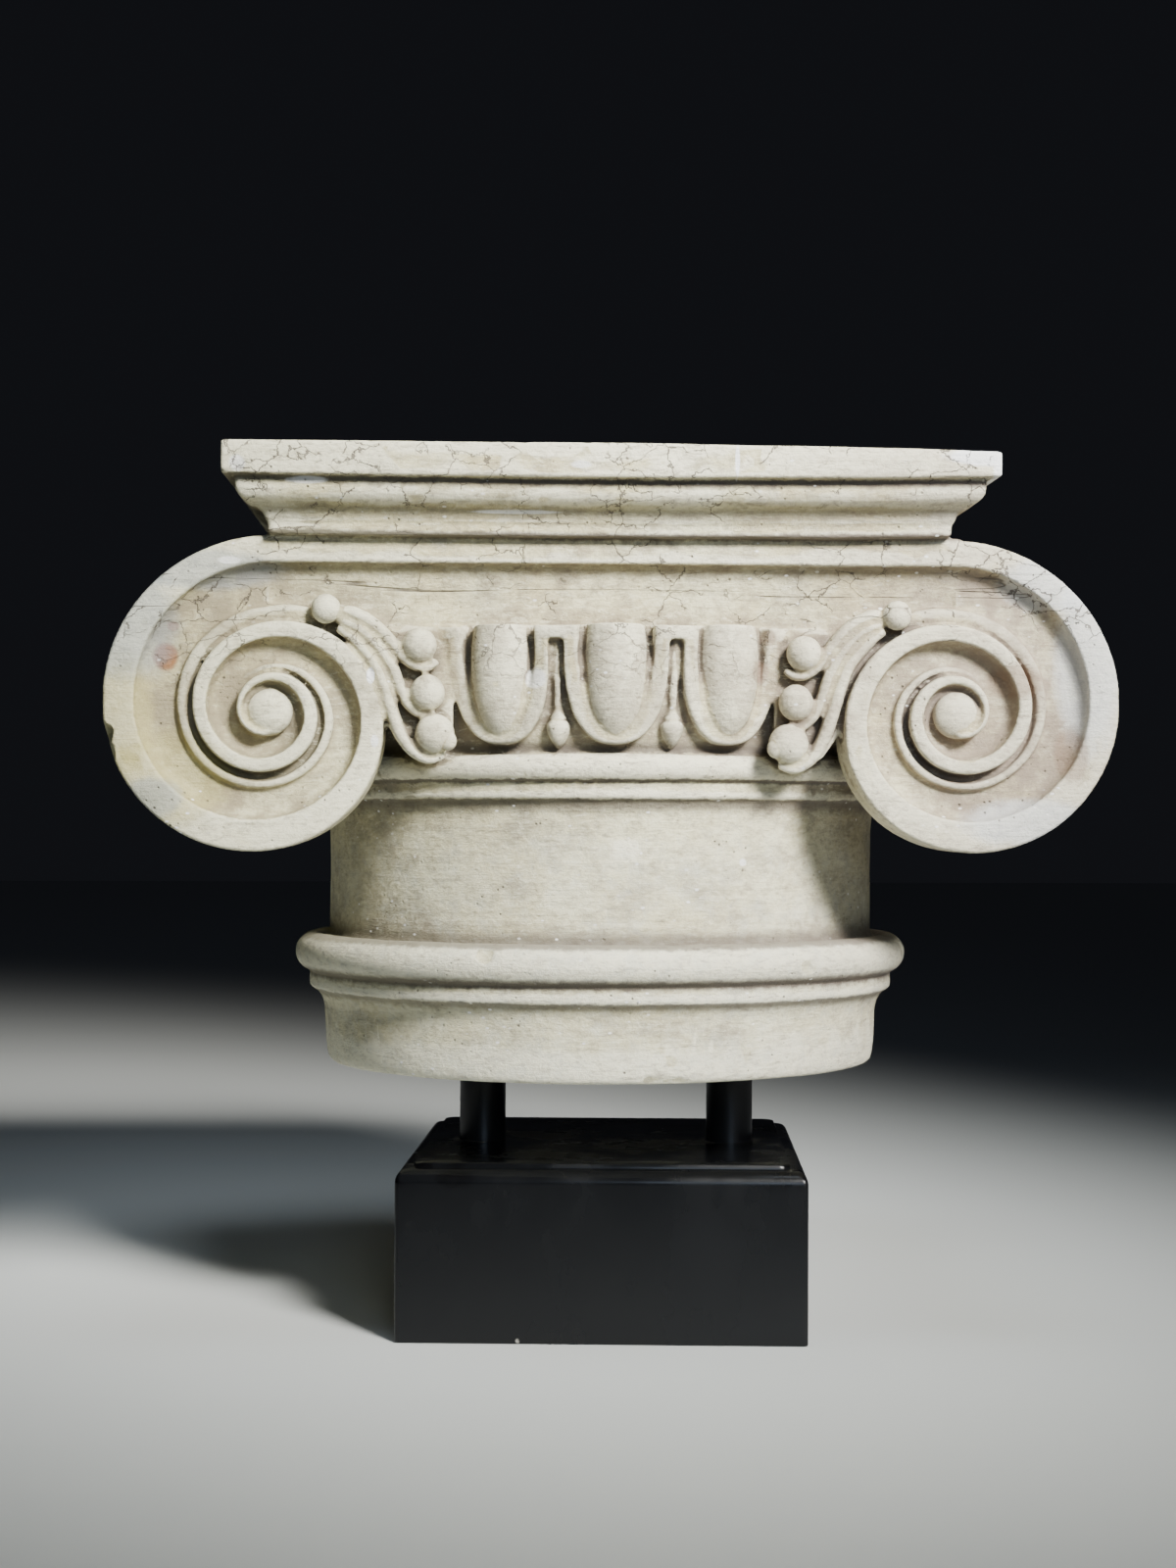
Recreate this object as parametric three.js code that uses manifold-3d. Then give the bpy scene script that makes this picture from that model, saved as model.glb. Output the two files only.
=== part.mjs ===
// Plaster cast of an Ionic capital, held by two steel posts over a square lacquered foot block.
// Millimetres, +Z up, front towards -Y. The origin is on the capital's axis, level with the underside of
// the block, which stands a little to the right of it.
//
// The capital is one solid. From the bottom up it has a plain ring with a cavetto, a fillet and a torus,
// a smooth necking, a fillet and an astragal, an echinus carved with eggs and darts, the channel that
// runs out into a volute at each end, and a square abacus. Each bolster joins a front volute to a back
// one. A half palmette with three balls fills the corner between the echinus and each volute.

import * as THREE from "three";
import { mergeVertices } from "three/addons/utils/BufferGeometryUtils.js";
import Module from "manifold-3d";

// ---- driving dimensions -------------------------------------------------------------------------

const BLOCK = {
  side: 200, height: 86, corner: 4, edgeInset: 8.5, edgeDrop: 9, stepDrop: 1.6, stepInset: 1.6,
};
const POST = { radius: 12, spacing: 129, intoBlock: 25, intoCapital: 30 };
const FIT_GAP = 0.3; // clearance between a post and the two sockets it stands in
const STAND_TURN_DEG = -4; // the foot and its posts are turned by this much under the capital
const STAND_SHIFT_X = 3.4; // and they stand a little to the right of its axis

const BASE_Z = 129.4; // underside of the casting
const RING = { bottomRadius: 141.4, radius: 142.6, top: 167.5 };
const LOWER_FILLET = { radius: 150.9, top: 175.5 };
const TORUS = { radius: 10, ringRadius: 148.2, z: 185.3 };
const NECK = { radius: 140.6, flareZ: 256, topRadius: 143.5 };
const UPPER_FILLET = { radius: 147.2, bottom: 262.8, top: 270.9 };
const ASTRAGAL = { radius: 6.1, ringRadius: 147, z: 277 };
const ECHINUS = { bottomRadius: 145, bottom: 284, topRadius: 156, top: 342.5 };
const TOP_RAIL = { radius: 161.5, bottom: 336.5 }; // closes the egg frames under the channel

const FACE_Y = 150; // distance of the volute faces from the axis
const FLOOR_Y = 142; // the channel's floor, behind the volute faces
const BEAD_Y = 146.5; // top of the small bead that follows the spiral
const EYE = { x: 160, z: 302.1, radius: 10.6, depth: 14, proud: 3 };
const SCROLL_TOP = 383.6; // top of the channel's upper rim

// Radius of the spiral at each quarter turn, from the top, outwards and down round the eye.
const SPIRAL_RADII = [81.5, 75.7, 63.7, 52.5, 42.0, 34.6, 27.3, 22.2, 18.4, 14.6, 10.9];
const RIM_SHARE = [0.15, 0.19, 0.23, 0.2, 0.185, 0.19, 0.25, 0.28, 0.22, 0.2, 0.2]; // rim width over radius

// The back volutes are smaller than the front ones: drawn in towards their outer top corner.
const BACK = { scale: 0.85, cornerX: -235.7, cornerZ: SCROLL_TOP };

const BOLSTER = { waist: 0.74, lipEnd: 134, waistStart: 62, beltHalf: 16, beltSwell: 0.06 };

// Abacus profile from the top down: distance of each face from the axis, and height.
const ABACUS_PROFILE = [
  [174.8, 423.9], [176, 422.7], [176, 409.2], [174.6, 407.9], [170, 407.3], [169.4, 402.6],
  [167.6, 399.2], [164.4, 396.5], [160.6, 394.4], [158, 392], [157, 389], [156.6, 383.2],
];
const ABACUS = { stretchX: 1.008, shiftX: -2 }; // a little wider than deep, and off the axis

const EGG = { pitchDeg: 20, halfWidth: 14.6, halfHeight: 32.6, z: 324.4, depth: 12.5 };
const FRAME = { halfWidth: 21.6, drop: 36, z: 326.5, width: 4.6, depth: 5.5, power: 2.5, reach: 163 };
const DART = { width: 3.8, reach: 159, tipHalfWidth: 5.4, tipHalfHeight: 7, tipZ: 293.2 };
// Places in pitches from the middle. The palmettes and bolsters cover the others.
const FRONT_EGGS = [-1, 0, 1];
const BACK_EGGS = [-2, -1, 0, 1, 2];

const BUD = { x: -132, z: 348.3, y: 149, radius: 6.8 };
const BALLS = [
  { x: -89.4, z: 332.1, y: 147, radius: 7.9 },
  { x: -85.5, z: 310.4, y: 147, radius: 8.0 },
  { x: -82.0, z: 290.8, y: 146, radius: 9.3 },
];
// Each stem leaves the bud, sweeps down and ends in a hook under its ball: x, z along the middle line.
const STEMS = [
  [[-130, 347], [-116.7, 346.8], [-108.4, 341.2], [-101, 333.4], [-95.5, 326.6], [-88.1, 323.6], [-82.5, 326]],
  [[-130, 346.5], [-116.8, 341.3], [-108.4, 333.6], [-101.9, 324], [-97.3, 313], [-92.7, 303.8], [-86.2, 301]],
  [
    [-130, 345.5], [-117.7, 334.6], [-110.3, 326.5], [-105.7, 315.4],
    [-101.9, 303.3], [-96.4, 292], [-89.9, 284], [-82.5, 281],
  ],
];
const STEM = { radius: 3.2, y: 146.5, tipScale: 0.55 };
const WEB_Y = 143.5; // face of the ground that the palmette lies on
const WEB_OUTLINE = [
  [-130, 349], [-110, 343.5], [-97, 331], [-76, 341], [-72, 290], [-88, 283], [-103, 301], [-111, 325],
];

const LATHE_SEGMENTS = 32;
const RIM_STEPS_PER_TURN = 16;
const BEAD_STEPS_PER_TURN = 10;
const TURN = 2 * Math.PI;

// ---- solids from three.js geometry --------------------------------------------------------------

const wasm = await Module();
wasm.setup();

// A closed geometry as a manifold-3d solid.
function solidFrom(geometry) {
  const bare = new THREE.BufferGeometry();
  bare.setAttribute("position", geometry.getAttribute("position"));
  if (geometry.index) bare.setIndex(geometry.index);
  const merged = mergeVertices(bare, 1e-4);
  return new wasm.Manifold(
    new wasm.Mesh({
      numProp: 3,
      vertProperties: new Float32Array(merged.getAttribute("position").array),
      triVerts: new Uint32Array(merged.index.array),
    }),
  );
}

function geometryFrom(solid) {
  const mesh = solid.getMesh();
  const geometry = new THREE.BufferGeometry();
  geometry.setAttribute("position", new THREE.BufferAttribute(new Float32Array(mesh.vertProperties), 3));
  geometry.setIndex(new THREE.BufferAttribute(new Uint32Array(mesh.triVerts), 1));
  geometry.computeVertexNormals();
  return geometry;
}

// A closed solid through rings of points, with the same count in each ring and a flat fan at each end.
// A solid that comes out inside out is turned round.
function loftSolid(rings) {
  const count = rings[0].length;
  const positions = rings.flat().flatMap((p) => [p.x, p.y, p.z]);
  const index = [];
  for (let r = 0; r + 1 < rings.length; r++) {
    for (let i = 0; i < count; i++) {
      const a = r * count + i;
      const b = r * count + ((i + 1) % count);
      index.push(a, b, b + count, a, b + count, a + count);
    }
  }
  for (const [ring, flip] of [[0, true], [rings.length - 1, false]]) {
    const middle = new THREE.Vector3();
    rings[ring].forEach((p) => middle.addScaledVector(p, 1 / count));
    const centre = positions.length / 3;
    positions.push(middle.x, middle.y, middle.z);
    for (let i = 0; i < count; i++) {
      const a = ring * count + i;
      const b = ring * count + ((i + 1) % count);
      index.push(...(flip ? [b, a, centre] : [a, b, centre]));
    }
  }
  if (signedVolume(positions, index) < 0) {
    for (let i = 0; i < index.length; i += 3) {
      [index[i + 1], index[i + 2]] = [index[i + 2], index[i + 1]];
    }
  }
  const geometry = new THREE.BufferGeometry();
  geometry.setAttribute("position", new THREE.Float32BufferAttribute(positions, 3));
  geometry.setIndex(index);
  return solidFrom(geometry);
}

function signedVolume(positions, index) {
  const corner = (i) => new THREE.Vector3().fromArray(positions, 3 * i);
  let sum = 0;
  for (let i = 0; i < index.length; i += 3) {
    sum += corner(index[i]).dot(corner(index[i + 1]).cross(corner(index[i + 2])));
  }
  return sum / 6;
}

// A solid turned about Z from a profile of [radius, z] that starts and ends on the axis.
function turnedSolid(profile, segments) {
  const points = profile.map(([radius, z]) => new THREE.Vector2(radius, z));
  const geometry = new THREE.LatheGeometry(points, segments);
  return solidFrom(geometry.rotateX(Math.PI / 2));
}

function boxSolid(low, high) {
  const size = new THREE.Vector3().subVectors(high, low);
  const geometry = new THREE.BoxGeometry(size.x, size.y, size.z);
  geometry.translate((low.x + high.x) / 2, (low.y + high.y) / 2, (low.z + high.z) / 2);
  return solidFrom(geometry);
}

function cylinderSolid(radius, x, bottom, top, segments) {
  const geometry = new THREE.CylinderGeometry(radius, radius, top - bottom, segments);
  geometry.rotateX(Math.PI / 2);
  geometry.translate(x, 0, (bottom + top) / 2);
  return solidFrom(geometry);
}

// An ellipsoid at a point, with half sizes along X, Y and Z, turned about Z.
function ellipsoidSolid(centre, half, turn, around, along) {
  const geometry = new THREE.SphereGeometry(1, around, along);
  geometry.rotateX(Math.PI / 2);
  geometry.scale(half.x, half.y, half.z);
  geometry.rotateZ(turn);
  geometry.translate(centre.x, centre.y, centre.z);
  return solidFrom(geometry);
}

function union(solids) {
  return solids.reduce((whole, solid) => whole.add(solid));
}

function withMirrored(solid) {
  return solid.add(solid.mirror([1, 0, 0]));
}

// A solid of the left front corner, as it is at the left back corner.
function toBackCorner(solid) {
  const { scale, cornerX, cornerZ } = BACK;
  const atOrigin = solid.mirror([0, 1, 0]).translate([-cornerX, 0, -cornerZ]);
  return atOrigin.scale([scale, 1, scale]).translate([cornerX, 0, cornerZ]);
}

function arcPoints(centreRadius, centreZ, radius, fromDeg, toDeg, steps) {
  return Array.from({ length: steps + 1 }, (_, i) => {
    const angle = THREE.MathUtils.degToRad(THREE.MathUtils.lerp(fromDeg, toDeg, i / steps));
    return [centreRadius + radius * Math.cos(angle), centreZ + radius * Math.sin(angle)];
  });
}

// ---- the spiral ---------------------------------------------------------------------------------

// A smooth value from a list that holds one number for each quarter turn.
function perQuarter(list, turnAngle) {
  const curve = new THREE.SplineCurve(list.map((value, i) => new THREE.Vector2(i, value)));
  const share = THREE.MathUtils.clamp(turnAngle / (TURN / 4) / (list.length - 1), 0, 1);
  return curve.getPoint(share).y;
}

const spiralRadius = (turnAngle) => perQuarter(SPIRAL_RADII, turnAngle);
const rimWidth = (turnAngle) => spiralRadius(turnAngle) * perQuarter(RIM_SHARE, turnAngle);

// The point of the left front volute at a radius from its eye: angle 0 is the top, and it grows outwards.
function volutePoint(turnAngle, radius, y) {
  return new THREE.Vector3(-EYE.x - radius * Math.sin(turnAngle), y, EYE.z + radius * Math.cos(turnAngle));
}

// A ridge that follows the spiral between two distances from the eye.
function spiralRidge({ from, to, stepsPerTurn, outerAt, innerAt, rootY, faceY }) {
  const steps = Math.round(((to - from) / TURN) * stepsPerTurn);
  const rings = [];
  for (let i = 0; i <= steps; i++) {
    const angle = THREE.MathUtils.lerp(from, to, i / steps);
    rings.push([
      volutePoint(angle, outerAt(angle), -rootY),
      volutePoint(angle, outerAt(angle), -faceY),
      volutePoint(angle, innerAt(angle), -faceY),
      volutePoint(angle, innerAt(angle), -rootY),
    ]);
  }
  return loftSolid(rings);
}

// The outline of a volute: the first turn of its spiral, scaled about the eye, drawn in towards the back.
function voluteOutline(scale, y) {
  const drawn = THREE.MathUtils.mapLinear(y, -FACE_Y, FACE_Y, 1, BACK.scale);
  return Array.from({ length: RIM_STEPS_PER_TURN + 1 }, (_, i) => {
    const angle = (TURN * i) / RIM_STEPS_PER_TURN;
    const point = volutePoint(angle, scale * spiralRadius(angle), y);
    point.x = BACK.cornerX + drawn * (point.x - BACK.cornerX);
    point.z = BACK.cornerZ + drawn * (point.z - BACK.cornerZ);
    return point;
  });
}

// ---- parts of the capital -----------------------------------------------------------------------

function shaftSolid() {
  const profile = [
    [0, BASE_Z],
    [RING.bottomRadius, BASE_Z],
    [RING.radius, 140],
    [RING.radius, 157],
    [RING.radius + 3, 165],
    [LOWER_FILLET.radius, RING.top],
    [LOWER_FILLET.radius, LOWER_FILLET.top],
    ...arcPoints(TORUS.ringRadius, TORUS.z, TORUS.radius, -78, 132, 6),
    [NECK.radius, 196],
    [NECK.radius, NECK.flareZ],
    [NECK.topRadius, UPPER_FILLET.bottom - 0.4],
    [UPPER_FILLET.radius, UPPER_FILLET.bottom],
    [UPPER_FILLET.radius, UPPER_FILLET.top],
    ...arcPoints(ASTRAGAL.ringRadius, ASTRAGAL.z, ASTRAGAL.radius, -80, 90, 4),
    [ECHINUS.bottomRadius, ECHINUS.bottom],
    [ECHINUS.topRadius - 2, ECHINUS.bottom + 30],
    [ECHINUS.topRadius, TOP_RAIL.bottom],
    [TOP_RAIL.radius, TOP_RAIL.bottom],
    [TOP_RAIL.radius, ECHINUS.top],
    [0, ECHINUS.top],
  ];
  return turnedSolid(profile, LATHE_SEGMENTS);
}

function abacusSolid() {
  const square = (half, z) =>
    [[-1, -1], [1, -1], [1, 1], [-1, 1]].map(
      ([x, y]) => new THREE.Vector3(x * half * ABACUS.stretchX + ABACUS.shiftX, y * half, z),
    );
  return loftSolid(ABACUS_PROFILE.map(([half, z]) => square(half, z)));
}

// The body under the abacus, with the channel's floor and its upper rim on the front and back.
function channelSolid() {
  const overlap = 3; // into the abacus and the echinus
  const backX = BACK.cornerX + BACK.scale * (-EYE.x - BACK.cornerX);
  const body = boxSolid(
    new THREE.Vector3(-EYE.x, -FLOOR_Y, ECHINUS.top - overlap),
    new THREE.Vector3(EYE.x, FLOOR_Y, SCROLL_TOP),
  );
  const frontRim = boxSolid(
    new THREE.Vector3(-EYE.x, -FACE_Y, SCROLL_TOP - rimWidth(0)),
    new THREE.Vector3(EYE.x, 0, SCROLL_TOP),
  );
  const backRim = boxSolid(
    new THREE.Vector3(backX, -1, SCROLL_TOP - BACK.scale * rimWidth(0)),
    new THREE.Vector3(-backX, FACE_Y, SCROLL_TOP),
  );
  return union([body, frontRim, backRim]);
}

// The left bolster: the volute's outline, lofted from the front plate to the back one through a waist.
function bolsterSolid() {
  const { waist, lipEnd, waistStart, beltHalf, beltSwell } = BOLSTER;
  const stations = [
    [FLOOR_Y, 1],
    [lipEnd, 1],
    [lipEnd - 6, 0.94],
    [waistStart + 30, 0.83],
    [waistStart, waist],
    [beltHalf, waist],
    [beltHalf - 1.5, waist + beltSwell],
  ];
  const mirrored = [...stations].reverse().map(([y, scale]) => [-y, scale]);
  const rings = [...stations, ...mirrored].map(([y, scale]) => voluteOutline(scale, -y));
  return loftSolid(rings);
}

// The face of one volute: the rim, the bead that follows it on the channel's inner side, and the eye.
function voluteFaceSolid() {
  const end = (TURN / 4) * (SPIRAL_RADII.length - 1);
  const rootY = FLOOR_Y - 4; // inside the bolster
  const rim = spiralRidge({
    from: 0,
    to: end,
    stepsPerTurn: RIM_STEPS_PER_TURN,
    outerAt: spiralRadius,
    innerAt: (angle) => spiralRadius(angle) - rimWidth(angle),
    rootY,
    faceY: FACE_Y,
  });
  const bead = spiralRidge({
    from: 0.97 * TURN,
    to: end - TURN / 8,
    stepsPerTurn: BEAD_STEPS_PER_TURN,
    outerAt: (angle) => spiralRadius(angle) * 1.19,
    innerAt: (angle) => spiralRadius(angle) * 1.06,
    rootY,
    faceY: BEAD_Y,
  });
  const eye = ellipsoidSolid(
    new THREE.Vector3(-EYE.x, EYE.depth - EYE.proud - FACE_Y, EYE.z),
    new THREE.Vector3(EYE.radius, EYE.depth, EYE.radius),
    0,
    10,
    5,
  );
  return union([rim, bead, eye]);
}

// A point on the echinus at an angle from the front, at a distance from the axis.
function echinusPoint(angle, radius, z) {
  return new THREE.Vector3(radius * Math.sin(angle), -radius * Math.cos(angle), z);
}

function eggSolid(pitches) {
  const angle = THREE.MathUtils.degToRad(pitches * EGG.pitchDeg);
  const half = new THREE.Vector3(EGG.halfWidth, EGG.depth, EGG.halfHeight);
  return ellipsoidSolid(echinusPoint(angle, ECHINUS.topRadius - 2, EGG.z), half, angle, 8, 5);
}

// The U-shaped ridge round an egg, swept along a superellipse on the echinus.
function frameSolid(pitches) {
  const middle = THREE.MathUtils.degToRad(pitches * EGG.pitchDeg);
  const steps = 7;
  const rings = [];
  for (let i = 0; i <= steps; i++) {
    const t = THREE.MathUtils.lerp(-1, 1, i / steps) * (Math.PI / 2);
    const side = Math.sign(t) * Math.abs(Math.sin(t)) ** (2 / FRAME.power);
    const down = Math.cos(t) ** (2 / FRAME.power);
    const top = i === 0 || i === steps ? ECHINUS.top + 1 - FRAME.z : 0;
    const ringPoint = (grow, radius) => {
      const across = side * (FRAME.halfWidth + grow);
      const z = FRAME.z - down * (FRAME.drop + grow) + top;
      return echinusPoint(middle + across / FRAME.reach, radius, z);
    };
    const half = FRAME.width / 2;
    const root = FRAME.reach - FRAME.depth - 8;
    rings.push([
      ringPoint(-half, root),
      ringPoint(-half, FRAME.reach - 0.8),
      ringPoint(half, FRAME.reach),
      ringPoint(half, root),
    ]);
  }
  return loftSolid(rings);
}

// The dart between two frames: a thin shaft with a drop at its foot.
function dartSolid(pitches) {
  const angle = THREE.MathUtils.degToRad(pitches * EGG.pitchDeg);
  const shaft = boxSolid(
    new THREE.Vector3(-DART.width / 2, -DART.reach, DART.tipZ),
    new THREE.Vector3(DART.width / 2, -140, ECHINUS.top),
  );
  const tip = ellipsoidSolid(
    echinusPoint(angle, 152, DART.tipZ),
    new THREE.Vector3(DART.tipHalfWidth, 7, DART.tipHalfHeight),
    angle,
    5,
    4,
  );
  return shaft.rotate([0, 0, pitches * EGG.pitchDeg]).add(tip);
}

// A stem of the palmette: a round bar along its middle line, thinner towards the hooked end.
function stemSolid(points) {
  const path = new THREE.CatmullRomCurve3(points.map(([x, z]) => new THREE.Vector3(x, -STEM.y, z)));
  const steps = 5;
  const sides = 4;
  const forward = new THREE.Vector3(0, -1, 0);
  const rings = [];
  for (let i = 0; i <= steps; i++) {
    const share = i / steps;
    const middle = path.getPointAt(share);
    const across = new THREE.Vector3().crossVectors(path.getTangentAt(share), forward).normalize();
    const radius = STEM.radius * THREE.MathUtils.lerp(1, STEM.tipScale, share);
    rings.push(
      Array.from({ length: sides }, (_, k) => {
        const angle = (TURN * k) / sides;
        return middle.clone()
          .addScaledVector(across, radius * Math.cos(angle))
          .addScaledVector(forward, 1.5 * radius * Math.sin(angle));
      }),
    );
  }
  return loftSolid(rings);
}

// The ground behind the palmette, from the volute to the first egg.
function webSolid() {
  const outline = new THREE.Shape(WEB_OUTLINE.map(([x, z]) => new THREE.Vector2(x, z)));
  const depth = 40;
  const plate = new THREE.ExtrudeGeometry(outline, { depth, bevelEnabled: false });
  plate.rotateX(Math.PI / 2);
  plate.translate(0, -WEB_Y + depth, 0);
  return solidFrom(plate);
}

function palmetteSolid() {
  const ball = ({ x, y, z, radius }) =>
    ellipsoidSolid(new THREE.Vector3(x, -y, z), new THREE.Vector3(radius, radius, radius), 0, 6, 4);
  return union([...BALLS.map(ball), ball(BUD), ...STEMS.map(stemSolid), webSolid()]);
}

// Eggs in their frames at the given places, with a dart between each two, cut level under the channel.
function carvingSolid(places) {
  const belowChannel = boxSolid(new THREE.Vector3(-200, -200, 0), new THREE.Vector3(200, 200, ECHINUS.top));
  const darts = places.slice(1).map((place) => dartSolid(place - 0.5));
  return union([...places.map(eggSolid), ...places.map(frameSolid), ...darts]).intersect(belowChannel);
}

function capitalSolid() {
  const corner = voluteFaceSolid().add(palmetteSolid());
  return union([
    shaftSolid(),
    abacusSolid(),
    channelSolid(),
    withMirrored(bolsterSolid()),
    withMirrored(corner),
    withMirrored(toBackCorner(corner)),
    carvingSolid(FRONT_EGGS),
    carvingSolid(BACK_EGGS).rotate([0, 0, 180]),
  ]);
}

// ---- the stand ----------------------------------------------------------------------------------

function postSolid(x, grow) {
  const bottom = BLOCK.height - POST.intoBlock - grow;
  const top = BASE_Z + POST.intoCapital + grow;
  return cylinderSolid(POST.radius + grow, x, bottom, top, 32);
}

// The outline of the block at one height: a square with rounded corners.
function roundedSquare(half, radius, z) {
  const points = [];
  const steps = 4;
  for (let corner = 0; corner < 4; corner++) {
    const middle = (corner + 0.5) * (TURN / 4);
    const reach = (half - radius) * Math.SQRT2;
    for (let i = 0; i <= steps; i++) {
      const angle = (TURN / 4) * (corner + i / steps);
      points.push(new THREE.Vector3(
        reach * Math.cos(middle) + radius * Math.cos(angle),
        reach * Math.sin(middle) + radius * Math.sin(angle),
        z,
      ));
    }
  }
  return points;
}

// The foot block: straight sides, a rounded shoulder, a small step and a flat top.
function blockSolid() {
  const { side, height, corner, edgeInset, edgeDrop, stepDrop, stepInset } = BLOCK;
  const half = side / 2;
  const shoulderTop = height - stepDrop;
  const shoulder = edgeDrop - stepDrop;
  const shoulderInset = edgeInset - stepInset;
  const rings = [roundedSquare(half - 1, corner, 0), roundedSquare(half, corner, 1)];
  const steps = 5;
  for (let i = 0; i <= steps; i++) {
    const angle = (TURN / 4) * (i / steps);
    const inset = shoulderInset * (1 - Math.cos(angle));
    rings.push(roundedSquare(half - inset, corner, shoulderTop - shoulder + shoulder * Math.sin(angle)));
  }
  rings.push(roundedSquare(half - edgeInset, corner, shoulderTop + 0.2));
  rings.push(roundedSquare(half - edgeInset - 0.6, corner, height));
  return loftSolid(rings);
}

// ---- the group ----------------------------------------------------------------------------------

const plaster = new THREE.MeshStandardMaterial({ color: 0xd6d2c8, roughness: 0.85, metalness: 0 });
const lacquer = new THREE.MeshStandardMaterial({ color: 0x101113, roughness: 0.25, metalness: 0 });
const paintedSteel = new THREE.MeshStandardMaterial({ color: 0x0c0d10, roughness: 0.4, metalness: 0.2 });

function namedMesh(name, solid, material) {
  const mesh = new THREE.Mesh(geometryFrom(solid), material);
  mesh.name = name;
  return mesh;
}

const postX = POST.spacing / 2;
const sockets = postSolid(-postX, FIT_GAP).add(postSolid(postX, FIT_GAP));
const turnedSockets = sockets.rotate([0, 0, STAND_TURN_DEG]).translate([STAND_SHIFT_X, 0, 0]);

const stand = new THREE.Group();
stand.rotation.z = THREE.MathUtils.degToRad(STAND_TURN_DEG);
stand.position.x = STAND_SHIFT_X;
stand.add(
  namedMesh("block", blockSolid().subtract(sockets), lacquer),
  namedMesh("post_left", postSolid(-postX, 0), paintedSteel),
  namedMesh("post_right", postSolid(postX, 0), paintedSteel),
);

const group = new THREE.Group();
group.add(namedMesh("capital", capitalSolid().subtract(turnedSockets), plaster), stand);

export default group;
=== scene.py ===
"""Looks of a painted plaster Ionic capital that stands on two black posts over a lacquered foot block.

Lengths in the modelling half are millimetres in the row frame: X to the right, the front towards -Y,
Z up from the underside of the foot block. The meshes are scaled to metres as they are made.
"""

import math

import bpy
import numpy as np
from mathutils import Matrix, Quaternion, Vector
from mathutils.bvhtree import BVHTree


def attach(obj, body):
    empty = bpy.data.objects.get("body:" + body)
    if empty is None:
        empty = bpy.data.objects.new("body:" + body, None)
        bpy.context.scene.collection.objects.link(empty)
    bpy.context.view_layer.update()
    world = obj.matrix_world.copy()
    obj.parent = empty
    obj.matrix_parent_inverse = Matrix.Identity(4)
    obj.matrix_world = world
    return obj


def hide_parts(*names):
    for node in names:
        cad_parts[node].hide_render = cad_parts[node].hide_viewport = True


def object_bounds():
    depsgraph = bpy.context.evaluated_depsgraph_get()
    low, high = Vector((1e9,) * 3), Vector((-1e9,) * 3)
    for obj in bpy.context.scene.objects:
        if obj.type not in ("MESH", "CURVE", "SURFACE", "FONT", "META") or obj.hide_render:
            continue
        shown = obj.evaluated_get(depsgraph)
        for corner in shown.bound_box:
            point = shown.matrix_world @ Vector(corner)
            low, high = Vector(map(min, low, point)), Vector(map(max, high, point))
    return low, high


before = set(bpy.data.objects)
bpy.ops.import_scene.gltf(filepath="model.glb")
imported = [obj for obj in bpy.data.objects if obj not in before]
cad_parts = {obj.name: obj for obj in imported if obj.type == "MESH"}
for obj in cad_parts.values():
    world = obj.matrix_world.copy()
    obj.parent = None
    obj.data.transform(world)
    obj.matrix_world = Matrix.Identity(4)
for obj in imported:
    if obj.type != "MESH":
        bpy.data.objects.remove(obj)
cad_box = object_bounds()

MM = 0.001
TURN = 2 * math.pi
VOXEL = 1.0
CAPITAL_TRIANGLES = 194000

# ---- sizes shared with the CAD ------------------------------------------------------------------

BASE_Z = 129.4
TOP_Z = 423.9
FACE_Y = 150.0  # the volute faces and the channel's rim
CHANNEL_BOTTOM = 342.5  # where the eggs end and the channel begins
EYE_X, EYE_Z, EYE_RADIUS = 160.0, 302.1, 10.6
SCROLL_TOP = 383.6  # top of the channel's upper rim
BACK_SCALE, BACK_CORNER_X = 0.85, -235.7  # the back volutes are drawn in towards their outer top corner
STAND_TURN, STAND_SHIFT_X = math.radians(-4), 3.4  # the foot and its posts, under the capital
POST_SPACING, POST_RADIUS = 129.0, 12.0
POST_IN_BLOCK, POST_IN_CAPITAL, FIT_GAP = 25.0, 30.0, 0.3
BLOCK_SIDE, BLOCK_HEIGHT = 200.0, 86.0

# The spiral, at each quarter turn from the top, outwards and down round the eye.
SPIRAL_RADII = [81.5, 75.7, 63.7, 52.5, 42.0, 34.6, 27.3, 22.2, 18.4, 14.6, 10.9]
RIM_SHARE = [0.15, 0.19, 0.23, 0.2, 0.185, 0.19, 0.25, 0.28, 0.22, 0.2, 0.2]
# The bead outside the next turn's rim: its two edges over that rim's radius, from the first full turn on.
BEAD_OUTER = [1.0, 1.0, 1.0, 1.0, 1.2, 1.24, 1.29, 1.33, 1.25, 1.2, 1.15]
BEAD_INNER = [1.0, 1.0, 1.0, 1.0, 1.0, 1.065, 1.115, 1.1, 1.06, 1.04, 1.03]


# ---- small numerical tools ----------------------------------------------------------------------


def per_quarter(values, turn):
    """A smooth value from a list that holds one number for each quarter turn."""
    values = np.asarray(values, float)
    place = np.clip(np.asarray(turn, float) / (TURN / 4), 0, len(values) - 1)
    i = np.minimum(place.astype(int), len(values) - 2)
    w = place - i
    p0, p1 = values[np.maximum(i - 1, 0)], values[i]
    p2, p3 = values[i + 1], values[np.minimum(i + 2, len(values) - 1)]
    v0, v1 = (p2 - p0) / 2, (p3 - p1) / 2
    return (2 * p1 - 2 * p2 + v0 + v1) * w**3 + (3 * p2 - 3 * p1 - 2 * v0 - v1) * w**2 + v0 * w + p1


def smoothstep(low, high, x):
    t = np.clip((x - low) / (high - low), 0, 1)
    return t * t * (3 - 2 * t)


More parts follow.
